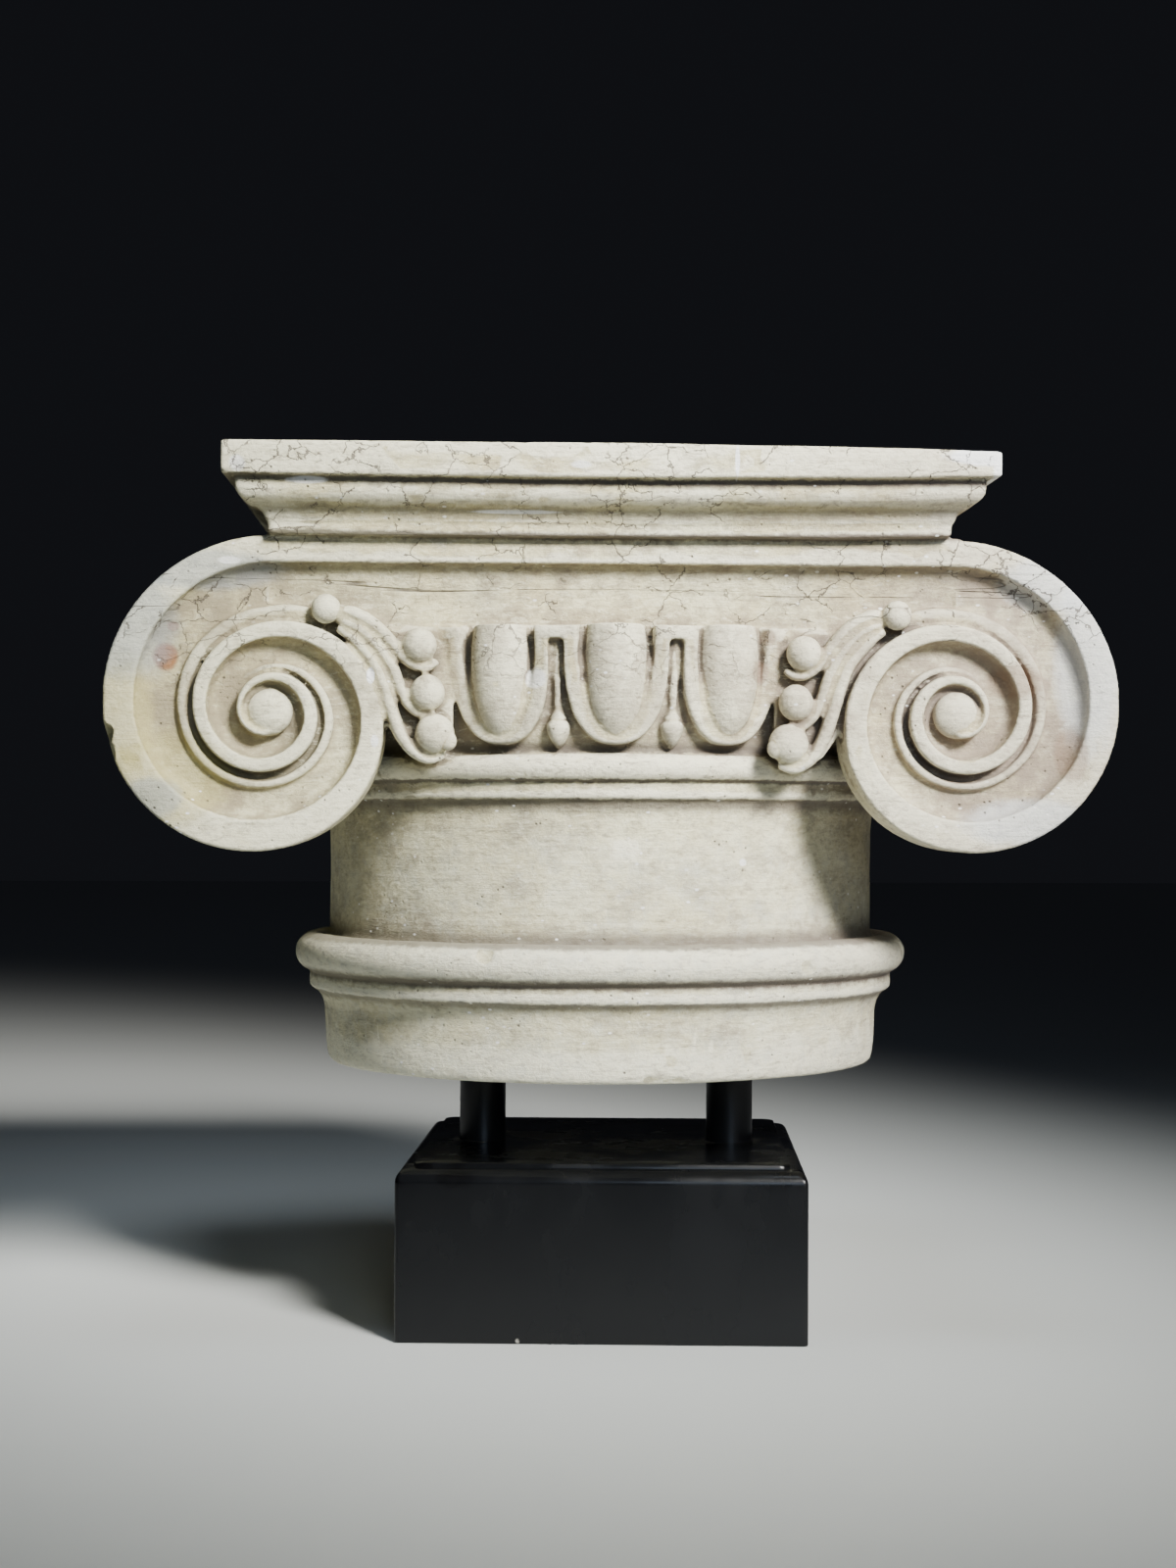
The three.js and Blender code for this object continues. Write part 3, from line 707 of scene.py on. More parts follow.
# Chips: a point on an edge, the direction that the break faces, how far it reaches and how deep it cuts.
CHIPS = [
    ((26, -140, 129.8), (0.1, -0.8, -0.6), 17, 3.2),
    ((38, -137, 129.6), (0.2, -0.7, -0.7), 8, 2.0),
    ((4, -142, 129.6), (0, -0.75, -0.65), 12, 1.5),
    ((-12, -142, 129.6), (0, -0.75, -0.65), 10, 1.8),
    ((-30, -139, 129.6), (-0.1, -0.75, -0.65), 9, 1.4),
    ((-47, -135, 129.6), (-0.2, -0.75, -0.65), 8, 1.3),
    ((62, -128, 129.6), (0.3, -0.7, -0.65), 6, 1.3),
    ((-84, -115, 129.6), (-0.5, -0.6, -0.65), 8, 1.1),
    ((98, -103, 129.6), (0.6, -0.6, -0.65), 9, 1.5),
    ((-138, 30, 129.6), (-0.8, 0.1, -0.6), 16, 2.4),
    ((60, 128, 129.6), (0.4, 0.8, -0.5), 14, 2.2),
    ((-90, 110, 129.6), (-0.5, 0.7, -0.5), 10, 1.6),
    ((141, 20, 129.6), (0.8, 0.1, -0.6), 10, 1.8),
    ((-233.5, -149, 289.5), (-0.9, -0.45, 0.05), 7, 2.2),
    ((-231, -149.5, 283), (-0.85, -0.5, -0.1), 5, 1.0),
    ((-179, -176, 410), (-0.6, -0.6, -0.6), 4, 0.8),
    ((175, -176, 421.5), (0.5, -0.6, 0.7), 5, 1.0),
    ((-179, -176, 424), (-0.5, -0.5, 0.7), 4, 0.9),
    ((176, 176, 409), (0.6, 0.6, -0.6), 9, 2.6),
    ((-176, 176, 423), (-0.6, 0.6, 0.6), 8, 2.4),
    ((-60, -176, 423.9), (0, -0.7, 0.7), 7, 0.7),
    ((120, -176, 408), (0, -0.7, -0.7), 8, 0.9),
    ((95, -127, 184), (0.5, -0.8, -0.3), 6, 1.1),
    ((-60, -145, 189), (-0.3, -0.8, 0.5), 5, 0.6),
    ((152, -44, 186), (0.9, -0.3, 0.2), 6, 1.0),
    ((204, -150, 303), (0.6, -0.8, 0.1), 4, 1.5),
    ((206, -150, 296), (0.6, -0.8, 0.0), 4, 1.1),
    ((110, -150, 281), (-0.4, -0.9, 0.0), 4, 0.8),
]


def weathered(points, normals):
    """A hand-finished casting: slight waves everywhere, worn edges, dents, and chips along the edges."""
    wave = 0.45 * fractal(points, 55, 11, 2) + 0.1 * value_noise(points, 13, 23)
    points = points + normals * wave[:, None]
    dent = np.clip(value_noise(points, 7.0, 51) - 0.62, 0, 1)
    dent = dent * np.clip(value_noise(points, 34, 57) + 0.35, 0, 1)
    points = points - normals * (1.5 * dent)[:, None]
    for place, facing, reach, depth in CHIPS:
        place = np.array(place, float)
        facing = np.array(facing, float)
        facing /= np.linalg.norm(facing)
        near = np.nonzero(np.linalg.norm(points - place, axis=1) < reach * 1.6)[0]
        if len(near) == 0:
            continue
        local = points[near]
        rough = 0.55 * fractal(local, 4.5, 71, 3) * min(1.0, depth / 1.5)
        ragged = reach * (1 + 0.35 * value_noise(local, 6.0, 77))
        flat_distance = np.linalg.norm((local - place) - np.outer((local - place) @ facing, facing), axis=1)
        bowl = depth * (1 - smoothstep(0.55, 1.0, flat_distance / ragged))
        beyond = (local - place) @ facing + bowl + rough * (bowl > 0.05 * depth)
        cut = np.where((beyond > 0) & (flat_distance < ragged), beyond, 0)
        points[near] = local - np.outer(cut, facing)
    return points


def inside_cad_box(points, margin=0.05):
    low = np.array(cad_box[0]) / MM + margin
    high = np.array(cad_box[1]) / MM - margin
    return np.clip(points, low, high)


def mark_hollows(mesh):
    """Writes on each vertex how sheltered it is, how deep in a crease, and how much it stands out. The first
    two set the painted shade in the plaster's colour.
    """
    points, normals, edges = points_of(mesh), normals_of(mesh), edges_of(mesh)
    count = len(points)
    triangles = [tuple(p.vertices) for p in mesh.polygons]
    tree = BVHTree.FromPolygons([tuple(p) for p in points], triangles)
    rays, golden_angle = 10, 2.39996
    reach, near_reach, clear = 0.07, 0.009, 0.0004
    spin = (lattice((points / clear).astype(np.int64).astype(np.uint32), 5) + 1) / 2 * TURN
    helper = np.where(np.abs(normals[:, 2:3]) < 0.9, [[0, 0, 1.0]], [[1.0, 0, 0]])
    side = np.cross(normals, helper)
    side /= np.maximum(np.linalg.norm(side, axis=1, keepdims=True), 1e-9)
    other = np.cross(normals, side)
    blocked, close = np.zeros(count), np.zeros(count)
    starts = points + normals * clear
    for k in range(rays):
        lift = math.sqrt((k + 0.5) / rays)
        angle = spin + k * golden_angle
        flat = math.sqrt(1 - lift * lift)
        direction = normals * lift + flat * (side * np.cos(angle)[:, None] + other * np.sin(angle)[:, None])
        for i in range(count):
            distance = tree.ray_cast(Vector(starts[i]), Vector(direction[i]), reach)[3]
            if distance is not None:
                blocked[i] += 1 - distance / reach
                close[i] += max(0.0, 1 - distance / near_reach)
    shelter = np.stack([blocked, close], 1) / rays
    for _ in range(2):
        shelter = 0.5 * shelter + 0.5 * neighbour_mean(shelter, edges, count)
    bend = points
    for _ in range(3):
        bend = neighbour_mean(bend, edges, count)
    edge = np.einsum("ij,ij->i", points - bend, normals) / MM
    for name, values in (("shelter", shelter[:, 0]), ("crease", shelter[:, 1]), ("edge", edge)):
        attribute = mesh.attributes.new(name, "FLOAT", "POINT")
        attribute.data.foreach_set("value", values.astype(np.float32))


def make_capital():
    vertices, triangles = joined(capital_shapes())
    piece = new_object("plaster_capital", new_mesh("plaster_capital", vertices, triangles))
    with_modifier(piece, "REMESH", mode="VOXEL", voxel_size=VOXEL, adaptivity=0.0)
    mesh = piece.data
    edges = edges_of(mesh)
    points = relaxed(points_of(mesh), edges)
    set_points(mesh, points)
    points = weathered(points, normals_of(mesh))
    points = relaxed(points, edges)
    points[:, 2] = np.clip(points[:, 2], BASE_Z + 0.02, TOP_Z - 0.02)
    set_points(mesh, inside_cad_box(points))
    faces = sum(len(p.vertices) - 2 for p in mesh.polygons)
    ratio = min(1.0, CAPITAL_TRIANGLES / faces)
    with_modifier(piece, "DECIMATE", ratio=ratio, use_collapse_triangulate=True)
    cut_sockets(piece, BASE_Z - 5, BASE_Z + POST_IN_CAPITAL + FIT_GAP, "MANIFOLD")
    piece.data.transform(Matrix.Scale(MM, 4))
    shade_by_angle(piece.data, 75)
    mark_hollows(piece.data)
    return piece


# ---- the stand ----------------------------------------------------------------------------------


def make_block():
    """Foot block: straight sides, a rolled shoulder, a small ledge and step, and a flat top."""
    half, top = BLOCK_SIDE / 2, BLOCK_HEIGHT
    rings = [
        rounded_square(half - 1.2, 1.6, 0.0),
        rounded_square(half - 0.3, 2.0, 0.25),
        rounded_square(half, 2.2, 0.9),
    ]
    rings += [rounded_square(half, 2.2, z) for z in np.linspace(6, top - 9.5, 12)]
    for angle in np.radians(np.linspace(0, 90, 12)):
        inset = 5.6 * (1 - math.cos(angle))
        rings.append(rounded_square(half - inset, 2.2 + inset * 0.5, top - 9.0 + 6.4 * math.sin(angle)))
    rings += [
        rounded_square(half - 7.6, 5.2, top - 2.5),
        rounded_square(half - 8.0, 5.5, top - 2.2),
        rounded_square(half - 8.2, 5.6, top - 0.7),
        rounded_square(half - 8.5, 5.9, top - 0.2),
        rounded_square(half - 9.1, 6.2, top),
        rounded_square(half - 20, 6.2, top),
        rounded_square(half - 60, 6.2, top),
    ]
    vertices, triangles = loft(rings)
    piece = new_object("foot_block", new_mesh("foot_block", on_stand(vertices), triangles))
    cut_sockets(piece, BLOCK_HEIGHT - POST_IN_BLOCK - FIT_GAP, BLOCK_HEIGHT + 5, "EXACT")
    piece.data.transform(Matrix.Scale(MM, 4))
    shade_by_angle(piece.data, 32)
    return piece


def post_shape(side, bottom, top, radius):
    soft, segments = 0.5, 72
    profile = [(radius - soft, bottom), (radius, bottom + soft)]
    profile += [(radius, z) for z in np.linspace(bottom + 6, top - 6, 10)]
    profile += [(radius, top - soft), (radius - soft, top)]
    vertices, triangles = turned(profile, segments)
    return on_stand(vertices + [side * POST_SPACING / 2, 0, 0]), triangles


def on_stand(vertices):
    return turn_z(vertices, STAND_TURN) + [STAND_SHIFT_X, 0, 0]


def cut_sockets(piece, bottom, top, solver):
    """Cuts the two blind holes that the posts stand in."""
    cutters = joined([post_shape(side, bottom, top, POST_RADIUS + FIT_GAP) for side in (-1, 1)])
    cutter = new_object("cutter", new_mesh("cutter", *cutters))
    cutter.data.transform(piece.matrix_world.inverted())
    with_modifier(piece, "BOOLEAN", operation="DIFFERENCE", solver=solver, object=cutter)
    mesh = cutter.data
    bpy.data.objects.remove(cutter)
    bpy.data.meshes.remove(mesh)


def make_post(name, side):
    bottom, top = BLOCK_HEIGHT - POST_IN_BLOCK, BASE_Z + POST_IN_CAPITAL
    vertices, triangles = post_shape(side, bottom, top, POST_RADIUS)
    piece = new_object(name, new_mesh(name, vertices, triangles))
    piece.data.transform(Matrix.Scale(MM, 4))
    shade_by_angle(piece.data, 40)
    return piece


def shade_by_angle(mesh, degrees):
    """Smooth shading that keeps the edges sharper than an angle."""
    mesh.polygons.foreach_set("use_smooth", np.ones(len(mesh.polygons), bool))
    mesh.set_sharp_from_angle(angle=math.radians(degrees))


# ---- materials ----------------------------------------------------------------------------------


def linear(red, green, blue):
    """A colour in screen values 0..255 as the linear colour that a shader takes."""
    values = [c / 255 for c in (red, green, blue)]
    return [c / 12.92 if c <= 0.04045 else ((c + 0.055) / 1.055) ** 2.4 for c in values] + [1.0]


class Paint:
    """A material's node tree, with short names for the nodes that it is made of."""

    def __init__(self, name):
        self.material = bpy.data.materials.new(name)
        self.material.use_nodes = True
        self.tree = self.material.node_tree
        self.shader = self.tree.nodes["Principled BSDF"]
        self.place = self.node("ShaderNodeTexCoord").outputs["Object"]
        self.split = self.node("ShaderNodeSeparateXYZ", Vector=self.place)

    def node(self, kind, settings=None, **inputs):
        node = self.tree.nodes.new(kind)
        for key, value in (settings or {}).items():
            setattr(node, key, value)
        for key, value in inputs.items():
            self.feed(node.inputs[key.replace("_", " ")], value)
        return node

    def feed(self, socket, value):
        if isinstance(value, bpy.types.NodeSocket):
            self.tree.links.new(value, socket)
        else:
            socket.default_value = value

    def math(self, operation, first, second=0.0):
        node = self.node("ShaderNodeMath", {"operation": operation})
        self.feed(node.inputs[0], first)
        self.feed(node.inputs[1], second)
        return node.outputs[0]

    def times(self, *values):
        total = values[0]
        for value in values[1:]:
            total = self.math("MULTIPLY", total, value)
        return total

    def square_sum(self, first, second):
        return self.math("ADD", self.times(first, first), self.times(second, second))

    def ramp(self, value, low, high, start=0.0, end=1.0):
        """start below low, end above high, and smooth between."""
        node = self.node(
            "ShaderNodeMapRange",
            {"interpolation_type": "SMOOTHSTEP"},
            Value=value,
            From_Min=low,
            From_Max=high,
            To_Min=start,
            To_Max=end,
        )
        return node.outputs["Result"]

    def stretched(self, x, y, z, turn=(0, 0, 0), vector=None):
        node = self.node("ShaderNodeMapping", {"vector_type": "POINT"}, Vector=vector or self.place)
        node.inputs["Scale"].default_value = (x, y, z)
        node.inputs["Rotation"].default_value = turn
        return node.outputs[0]

    def noise(self, size, detail=3.0, roughness=0.55, vector=None, distortion=0.0, offset=0.0):
        """Noise around 0.5 with features of about that size in millimetres."""
        node = self.node(
            "ShaderNodeTexNoise",
            {"noise_dimensions": "4D"},
            Vector=vector or self.place,
            W=offset,
            Scale=1000.0 / size,
            Detail=detail,
            Roughness=roughness,
            Distortion=distortion,
        )
        return node.outputs["Fac"]

    def cells(self, size, feature="F1", vector=None):
        node = self.node(
            "ShaderNodeTexVoronoi",
            {"feature": feature},
            Vector=vector or self.place,
            Scale=1000.0 / size,
            Randomness=1.0,
        )
        return node.outputs["Distance"]

    def blend(self, share, first, second):
        node = self.node("ShaderNodeMix", {"data_type": "RGBA", "clamp_factor": True})
        self.feed(node.inputs[0], share)
        self.feed(node.inputs[6], first)
        self.feed(node.inputs[7], second)
        return node.outputs[2]

    def number(self, name):
        return self.node("ShaderNodeAttribute", {"attribute_name": name}).outputs["Fac"]

    def bumps(self, *layers):
        """Chained bumps: each layer is (height, depth in millimetres)."""
        normal = None
        for height, depth in layers:
            node = self.node("ShaderNodeBump", Height=height, Distance=depth * MM, Strength=1.0)
            if normal is not None:
                self.feed(node.inputs["Normal"], normal)
            normal = node.outputs["Normal"]
        self.feed(self.shader.inputs["Normal"], normal)

    def finish(self, piece):
        piece.data.materials.clear()
        piece.data.materials.append(self.material)


# Marks on the plaster: colour, strength, and the places with their reach along x and z.
STAINS = [
    ((138, 84, 42), 0.85, [(-208, 328, 6, 7)]),
    ((128, 74, 36), 0.6, [(-204.8, 342, 3, 2.5)]),
    ((178, 168, 108), 0.5, [(-205, 272, 30, 24), (-226, 300, 14, 30)]),
    ((138, 148, 156), 0.5, [(-226, 345, 26, 30), (-190, 368, 40, 10), (-214, 262, 16, 10)]),
    ((206, 211, 214), 0.55, [(222, 330, 16, 50), (196, 252, 36, 12), (205, 364, 26, 14)]),
    ((132, 108, 90), 0.55, [(188, 318, 14, 9), (214, 284, 8, 14), (68, 322, 5, 6), (72, 338, 4, 4)]),
    ((236, 236, 230), 0.8, [(-37, 318, 5, 5), (-17, 413.8, 5, 1.8)]),
    ((236, 236, 230), 0.8, [(-141, 406.5, 10, 1.8), (-172, 413, 4, 4)]),
    ((240, 241, 240), 0.95, [(170, 419, 22, 4.5), (176, 412, 5, 9), (54, 416, 1.2, 8), (-113, 319, 2, 4)]),
    ((238, 238, 232), 0.9, [(-111, 289, 2, 3), (62, 233, 2, 2), (-46, 394, 22, 0.9), (-178, 372, 6, 2)]),
]


# Painted shade along creases that run level, under rolls, ledges and rims: height, how far the shade reaches
# above and below it, strength.
BODY_CREASE_SHADE = [
    (194.2, 9, 2.5, 0.75), (175.8, 4.5, 3.5, 0.95), (166.8, 1, 5, 0.7), (262.0, 1.2, 8, 0.8),
    (271.2, 1.2, 1.8, 0.9), (285.2, 6, 1.6, 0.85),
]
FRONT_CREASE_SHADE = [(406.9, 1.2, 4, 0.95), (383.4, 2.6, 2.2, 0.9), (393.5, 3, 5, 0.4)]
CHANNEL_CREASE_SHADE = [(371.2, 0.6, 8, 0.5)]


def plaster_paint():
    p = Paint("painted_plaster")
    x, y, z = (p.split.outputs[i] for i in range(3))
    shelter, crease, edge = p.number("shelter"), p.number("crease"), p.number("edge")

    clouds = p.noise(70, 4, 0.6)
    patches = p.noise(24, 6, 0.66, offset=3)
    mottle = p.noise(7, 6, 0.7, offset=5)
    grain = p.noise(1.5, 5, 0.75, offset=7)
    brushed = p.noise(30, 6, 0.68, vector=p.stretched(0.3, 0.3, 5.0), distortion=0.5)
    fine_brush = p.noise(10, 5, 0.7, vector=p.stretched(0.16, 0.16, 5.0), offset=2, distortion=0.3)
    swing = p.math("SUBTRACT", mottle, 0.5)
    patch_swing = p.math("SUBTRACT", patches, 0.5)
    front = p.ramp(y, -0.1, -0.13)

    light = linear(227, 222, 186)
    cream = linear(207, 197, 154)
    grey = linear(168, 162, 138)
    rose = linear(142, 129, 110)
    # This colour darkens cracks, scratches and pits as dirt, and hollows and creases as painted shade.
    dirt_and_shade = linear(92, 84, 75)
    crease_shadow_colour = linear(46, 41, 36)
    white = linear(238, 234, 208)

    colour = p.blend(p.ramp(clouds, 0.36, 0.62), light, cream)
    colour = p.blend(p.times(p.ramp(patches, 0.46, 0.66), 0.8), colour, grey)
    streaks = p.times(p.ramp(brushed, 0.5, 0.66), p.ramp(mottle, 0.34, 0.6))
    colour = p.blend(p.times(streaks, 0.42), colour, rose)
    thin = p.times(p.ramp(fine_brush, 0.54, 0.68), p.ramp(clouds, 0.42, 0.58))
    colour = p.blend(p.times(thin, 0.28), colour, rose)
    colour = p.blend(p.times(p.ramp(mottle, 0.5, 0.64), 0.45), colour, grey)

    # Painted shade: the colour darkens with how sheltered each point is, in hollows and under overhangs such
    # as the volutes; what stands out is paler, as worn.
    shade_from_shelter = p.math("ADD", shelter, p.times(p.math("ADD", swing, patch_swing), 0.45))
    colour = p.blend(p.times(p.ramp(shade_from_shelter, 0.08, 0.42), 0.6), colour, rose)
    colour = p.blend(p.times(p.ramp(shade_from_shelter, 0.3, 0.7), 0.7), colour, dirt_and_shade)
    # Painted shadow, darkest in the narrowest creases and right under the rims.
    shade_in_creases = p.math("ADD", crease, p.times(swing, 0.3))
    colour = p.blend(p.times(p.ramp(shade_in_creases, 0.1, 0.34), 0.9), colour, dirt_and_shade)
    colour = p.blend(p.times(p.ramp(shade_in_creases, 0.3, 0.6), 0.85), colour, crease_shadow_colour)
    raised = p.math("ADD", edge, p.times(swing, 0.35))
    colour = p.blend(p.times(p.ramp(raised, 0.05, 0.25), 0.85), colour, white)

    # Fine broken strokes, dark in the texture's lows and pale on its highs.
    strokes = p.noise(3.2, 5, 0.75, vector=p.stretched(0.5, 0.5, 1.3), offset=27, distortion=0.6)
    colour = p.blend(p.times(p.ramp(strokes, 0.52, 0.4), 0.34), colour, rose)
    colour = p.blend(p.times(p.ramp(strokes, 0.42, 0.32), 0.42), colour, dirt_and_shade)
    colour = p.blend(p.times(p.ramp(strokes, 0.52, 0.62), 0.42), colour, white)

    # Painted shade in the volutes' sunken channels: a patchy rose tint, which the channel between them does
    # not get.
    channel_recess_shade = p.times(p.ramp(y, -0.149, -0.1425), front, p.ramp(p.math("ABSOLUTE", x), 0.12, 0.18))
    patchy_shade = p.ramp(p.math("ADD", patch_swing, p.times(swing, 0.7)), -0.14, 0.1, 0.25, 0.85)
    colour = p.blend(p.times(channel_recess_shade, patchy_shade), colour, rose)

    # The row of eggs gets the same patchy rose tint, as painted shade over the carved band.
    egg_row_shade = p.times(p.ramp(z, 0.282, 0.292), p.ramp(z, 0.349, 0.34), p.ramp(p.math("ABSOLUTE", x), 0.13, 0.115))
    colour = p.blend(p.times(egg_row_shade, front, patchy_shade, 0.55), colour, rose)

    # The necking and the base are whiter than the carving.
    radius = p.math("POWER", p.square_sum(x, y), 0.5)
    low = p.times(p.ramp(z, 0.27, 0.225), p.ramp(radius, 0.17, 0.163), p.ramp(mottle, 0.3, 0.6, 0.5, 0.1))
    colour = p.blend(low, colour, linear(206, 208, 196))

    # Painted shade in the creases that run level, drawn by height.
    lift = p.times(x, x, 1.6 * MM / 0.176**2)
    level = p.math("ADD", z, p.times(swing, 4 * MM))
    bowed = p.math("SUBTRACT", level, lift)
    within = p.ramp(p.math("ABSOLUTE", x), 0.168, 0.15)
    groups = (
        (BODY_CREASE_SHADE, level, p.ramp(radius, 0.159, 0.156)),
        (FRONT_CREASE_SHADE, bowed, p.ramp(z, 0.378, 0.38)),
        (CHANNEL_CREASE_SHADE, level, p.times(front, within)),
    )
    for creases, height, where in groups:
        for at, above, below, strength in creases:
            under = p.ramp(height, (at - below) * MM, (at - 0.2 * below) * MM)
            over = p.ramp(height, (at + above) * MM, (at + 0.2 * above) * MM)
            colour = p.blend(p.times(under, over, where, strength), colour, dirt_and_shade)

    # The left side is yellower, the right one a little rosier.
    colour = p.blend(p.ramp(x, 0.0, -0.22, 0.0, 0.22), colour, linear(172, 168, 118))
    colour = p.blend(p.ramp(x, 0.0, 0.22, 0.0, 0.36), colour, linear(158, 142, 132))

    # Stains and bare patches.
    ragged = p.math("ADD", p.times(swing, 1.1), p.times(patch_swing, 0.5))
    for rgb, strength, spots in STAINS:
        for sx, sz, wide, tall in spots:
            across = p.times(p.math("SUBTRACT", x, sx * MM), 1 / (wide * MM))
            along = p.times(p.math("SUBTRACT", z, sz * MM), 1 / (tall * MM))
            off = p.math("ADD", p.square_sum(across, along), ragged)
            spot = p.times(p.ramp(off, 1.2, 0.45), front, strength)
            colour = p.blend(spot, colour, linear(*rgb))

    # Hairline cracks in patches on the abacus, the channel and the eggs.
    crooked = p.node("ShaderNodeVectorMath", {"operation": "ADD"})
    p.feed(crooked.inputs[0], p.stretched(1, 1, 1.5))
    wander = p.node("ShaderNodeTexNoise", Vector=p.place, Scale=90.0, Detail=4.0, Roughness=0.6)
    small = p.node("ShaderNodeVectorMath", {"operation": "SCALE"})
    p.feed(small.inputs[0], wander.outputs["Color"])
    small.inputs["Scale"].default_value = 0.016
    p.feed(crooked.inputs[1], small.outputs[0])
    web = p.cells(17, "DISTANCE_TO_EDGE", vector=crooked.outputs[0])
    cracked = p.times(
        p.ramp(web, 0.022, 0.008),
        p.ramp(p.noise(30, 3, 0.6, offset=17), 0.49, 0.53),
        p.ramp(z, 0.3, 0.35),
    )
    colour = p.blend(p.times(cracked, 0.8), colour, dirt_and_shade)

    # Long slanting scratches in the channel.
    along = p.stretched(0.06, 1, 2.4, turn=(0, math.radians(-24), 0))
    slanting = p.noise(26, 2, 0.5, vector=along, offset=21)
    scratched = p.times(
        p.ramp(p.math("ABSOLUTE", p.math("SUBTRACT", slanting, 0.5)), 0.009, 0.0),
        p.ramp(z, 0.343, 0.347),
        p.ramp(z, 0.371, 0.366),
        front,
        p.ramp(p.noise(40, 2, 0.5, offset=23), 0.4, 0.5),
    )
    colour = p.blend(p.times(scratched, 0.8), colour, dirt_and_shade)

    # Small dark pits, and pale flecks where the paint came off.
    pits = p.times(p.ramp(p.cells(4.5), 0.17, 0.06), p.ramp(p.noise(24, 2, 0.5, offset=11), 0.5, 0.62))
    colour = p.blend(p.times(pits, 0.75), colour, dirt_and_shade)
    specks = p.ramp(p.noise(1.9, 3, 0.7, offset=15), 0.64, 0.72)
    colour = p.blend(p.times(specks, p.ramp(patches, 0.42, 0.6), 0.5), colour, dirt_and_shade)
    flecks = p.times(
        p.ramp(p.cells(8, vector=p.stretched(1, 1, 1.7)), 0.15, 0.09),
        p.ramp(p.noise(32, 2, 0.5, offset=13), 0.52, 0.64),
    )
    colour = p.blend(flecks, colour, linear(240, 239, 235))
    p.feed(p.shader.inputs["Base Color"], colour)
    p.feed(p.shader.inputs["Roughness"], p.ramp(mottle, 0.3, 0.7, 0.68, 0.9))
    p.shader.inputs["Specular IOR Level"].default_value = 0.35
    p.bumps(
        (brushed, 0.9), (mottle, 1.1), (strokes, 0.5), (grain, 0.35),
        (p.math("MULTIPLY", pits, -1.0), 0.6),
        (p.math("MULTIPLY", p.math("ADD", cracked, scratched), -1.0), 0.5),
    )
    return p


def lacquer_paint():
    p = Paint("black_lacquer")
    x, y, z = (p.split.outputs[i] for i in range(3))
    smear = p.noise(40, 4, 0.6, vector=p.stretched(1, 1, 0.5))
    dust = p.ramp(p.noise(2.2, 3, 0.7, offset=4), 0.62, 0.8)
    colour = p.blend(p.times(dust, 0.2), linear(12, 13, 15), linear(36, 36, 38))

    # Pale residue in broken rings round the feet of the posts.
    ragged = p.times(p.math("SUBTRACT", p.noise(7, 4, 0.65, offset=12), 0.5), 12 * MM)
    for side in (-1, 1):
        foot_x, foot_y, _ = on_stand(np.array([[side * POST_SPACING / 2, 0.0, 0.0]]))[0]
        across = p.math("SUBTRACT", x, foot_x * MM)
        along = p.math("SUBTRACT", y, foot_y * MM)
        away = p.math("ADD", p.math("POWER", p.square_sum(across, along), 0.5), ragged)
        inner, outer = p.ramp(away, 11 * MM, 13 * MM), p.ramp(away, 17 * MM, 14.5 * MM)
        ring = p.times(inner, outer, p.ramp(z, 0.083, 0.0845))
        colour = p.blend(p.times(ring, 0.55), colour, linear(104, 102, 96))

    # The rolled edge has darker patches near the corners, and the lowest edge is nicked.
    sideways = p.math("ABSOLUTE", p.math("SUBTRACT", x, STAND_SHIFT_X * MM))
    worn = p.times(
        p.ramp(p.noise(20, 5, 0.7, offset=31), 0.5, 0.55),
        p.ramp(sideways, 0.06, 0.076),
        p.ramp(z, 0.072, 0.077),
    )
    colour = p.blend(p.times(worn, 0.85), colour, linear(4, 4, 5))
    nicks = p.times(
        p.ramp(p.cells(7), 0.22, 0.14),
        p.ramp(p.noise(20, 2, 0.5, offset=33), 0.54, 0.6),
        p.ramp(z, 0.004, 0.0015),
    )
    colour = p.blend(nicks, colour, linear(146, 143, 136))
    p.feed(p.shader.inputs["Base Color"], colour)
    p.feed(p.shader.inputs["Roughness"], p.ramp(smear, 0.35, 0.7, 0.16, 0.34))
    p.shader.inputs["Specular IOR Level"].default_value = 0.3
    p.bumps((p.noise(14, 3, 0.5, offset=9), 0.05), (p.noise(1.2, 2, 0.5), 0.01))
    return p


def post_paint():
    p = Paint("black_post_paint")
    smear = p.noise(18, 4, 0.6)
    p.feed(p.shader.inputs["Base Color"], p.blend(smear, linear(14, 14, 20), linear(22, 22, 27)))
    p.feed(p.shader.inputs["Roughness"], p.ramp(smear, 0.35, 0.7, 0.3, 0.5))
    p.bumps((p.noise(3, 3, 0.6, offset=2), 0.05),)
    return p


# ---- pieces -------------------------------------------------------------------------------------

capital = make_capital()
plaster_paint().finish(capital)
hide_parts("capital")

block = make_block()
lacquer_paint().finish(block)
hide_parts("block")

pieces = [capital, block]
paint = post_paint()
for name, side in (("post_left", -1), ("post_right", 1)):
    post = make_post("black_" + name, side)
    paint.finish(post)
    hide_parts(name)
    pieces.append(post)
for piece in pieces:
    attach(piece, "root")


# ---- floor, lights and camera -------------------------------------------------------------------


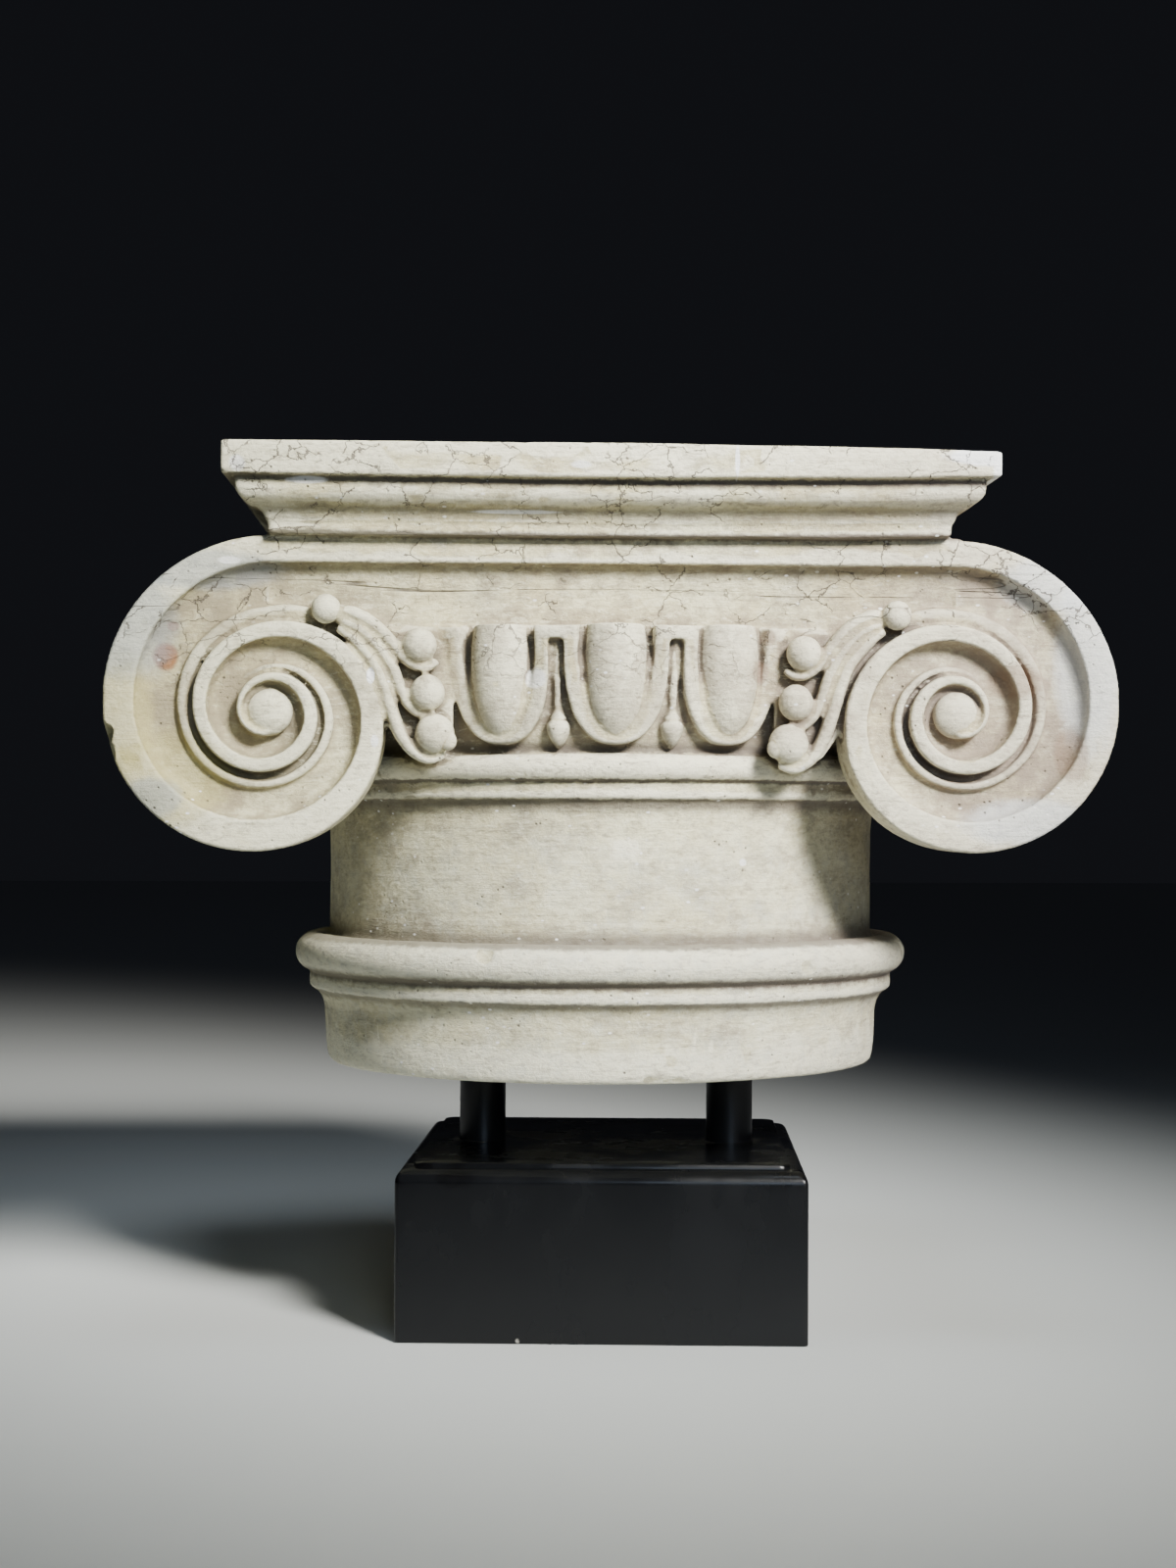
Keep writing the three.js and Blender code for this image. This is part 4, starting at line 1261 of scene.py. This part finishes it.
def make_floor():
    vertices = np.array([[-9, -9, 0], [9, -9, 0], [9, 9, 0], [-9, 9, 0]], float)
    floor = new_object("floor", new_mesh("floor", vertices, np.array([[0, 1, 2], [0, 2, 3]])))
    material = bpy.data.materials.new("pale_floor")
    material.use_nodes = True
    shader = material.node_tree.nodes["Principled BSDF"]
    shader.inputs["Base Color"].default_value = linear(220, 223, 220)
    shader.inputs["Roughness"].default_value = 0.6
    floor.data.materials.append(material)


# Each light: name, place, height that it is aimed at, side, power, spread in degrees, colour.
LIGHTS = [
    ("key", (0.95, -1.68, 1.45), 0.34, 0.6, 6.6, 28, (1, 0.985, 0.95)),
    ("fill", (0.25, -2.3, 0.75), 0.32, 0.6, 0.42, 36, (0.62, 0.78, 1)),
    ("top", (0.1, -0.5, 2.2), 0.3, 0.8, 0.9, 40, (0.8, 0.9, 1)),
]


def area_light(name, place, aim, side, power, spread, colour):
    data = bpy.data.lights.new(name, "AREA")
    data.shape = "RECTANGLE"
    data.size = data.size_y = side
    data.energy = power
    data.color = colour
    data.spread = math.radians(spread)
    light = bpy.data.objects.new(name, data)
    light.location = place
    light.rotation_mode = "QUATERNION"
    light.rotation_quaternion = (Vector((0, 0, aim)) - Vector(place)).to_track_quat("-Z", "Y")
    bpy.context.scene.collection.objects.link(light)


def make_camera():
    """The camera stands a little to the left, lower than the volutes, and looks very slightly up."""
    heading, rise, roll = math.radians(2.3), math.radians(0.935), math.radians(0.18)
    data = bpy.data.cameras.new("camera")
    data.sensor_width = 36.0
    data.lens = 55.1
    camera = bpy.data.objects.new("camera", data)
    camera.location = (-0.0570, -1.2587, 0.2514)
    look = Vector((math.sin(heading) * math.cos(rise), math.cos(heading) * math.cos(rise), math.sin(rise)))
    camera.rotation_mode = "QUATERNION"
    camera.rotation_quaternion = look.to_track_quat("-Z", "Y") @ Quaternion((0, 0, 1), roll)
    bpy.context.scene.collection.objects.link(camera)
    bpy.context.scene.camera = camera


make_floor()
for settings in LIGHTS:
    area_light(*settings)
world = bpy.data.worlds.new("studio")
world.use_nodes = True
background = world.node_tree.nodes["Background"].inputs
background["Color"].default_value = (0.75, 0.8, 1, 1)
background["Strength"].default_value = 0.01
bpy.context.scene.world = world
make_camera()
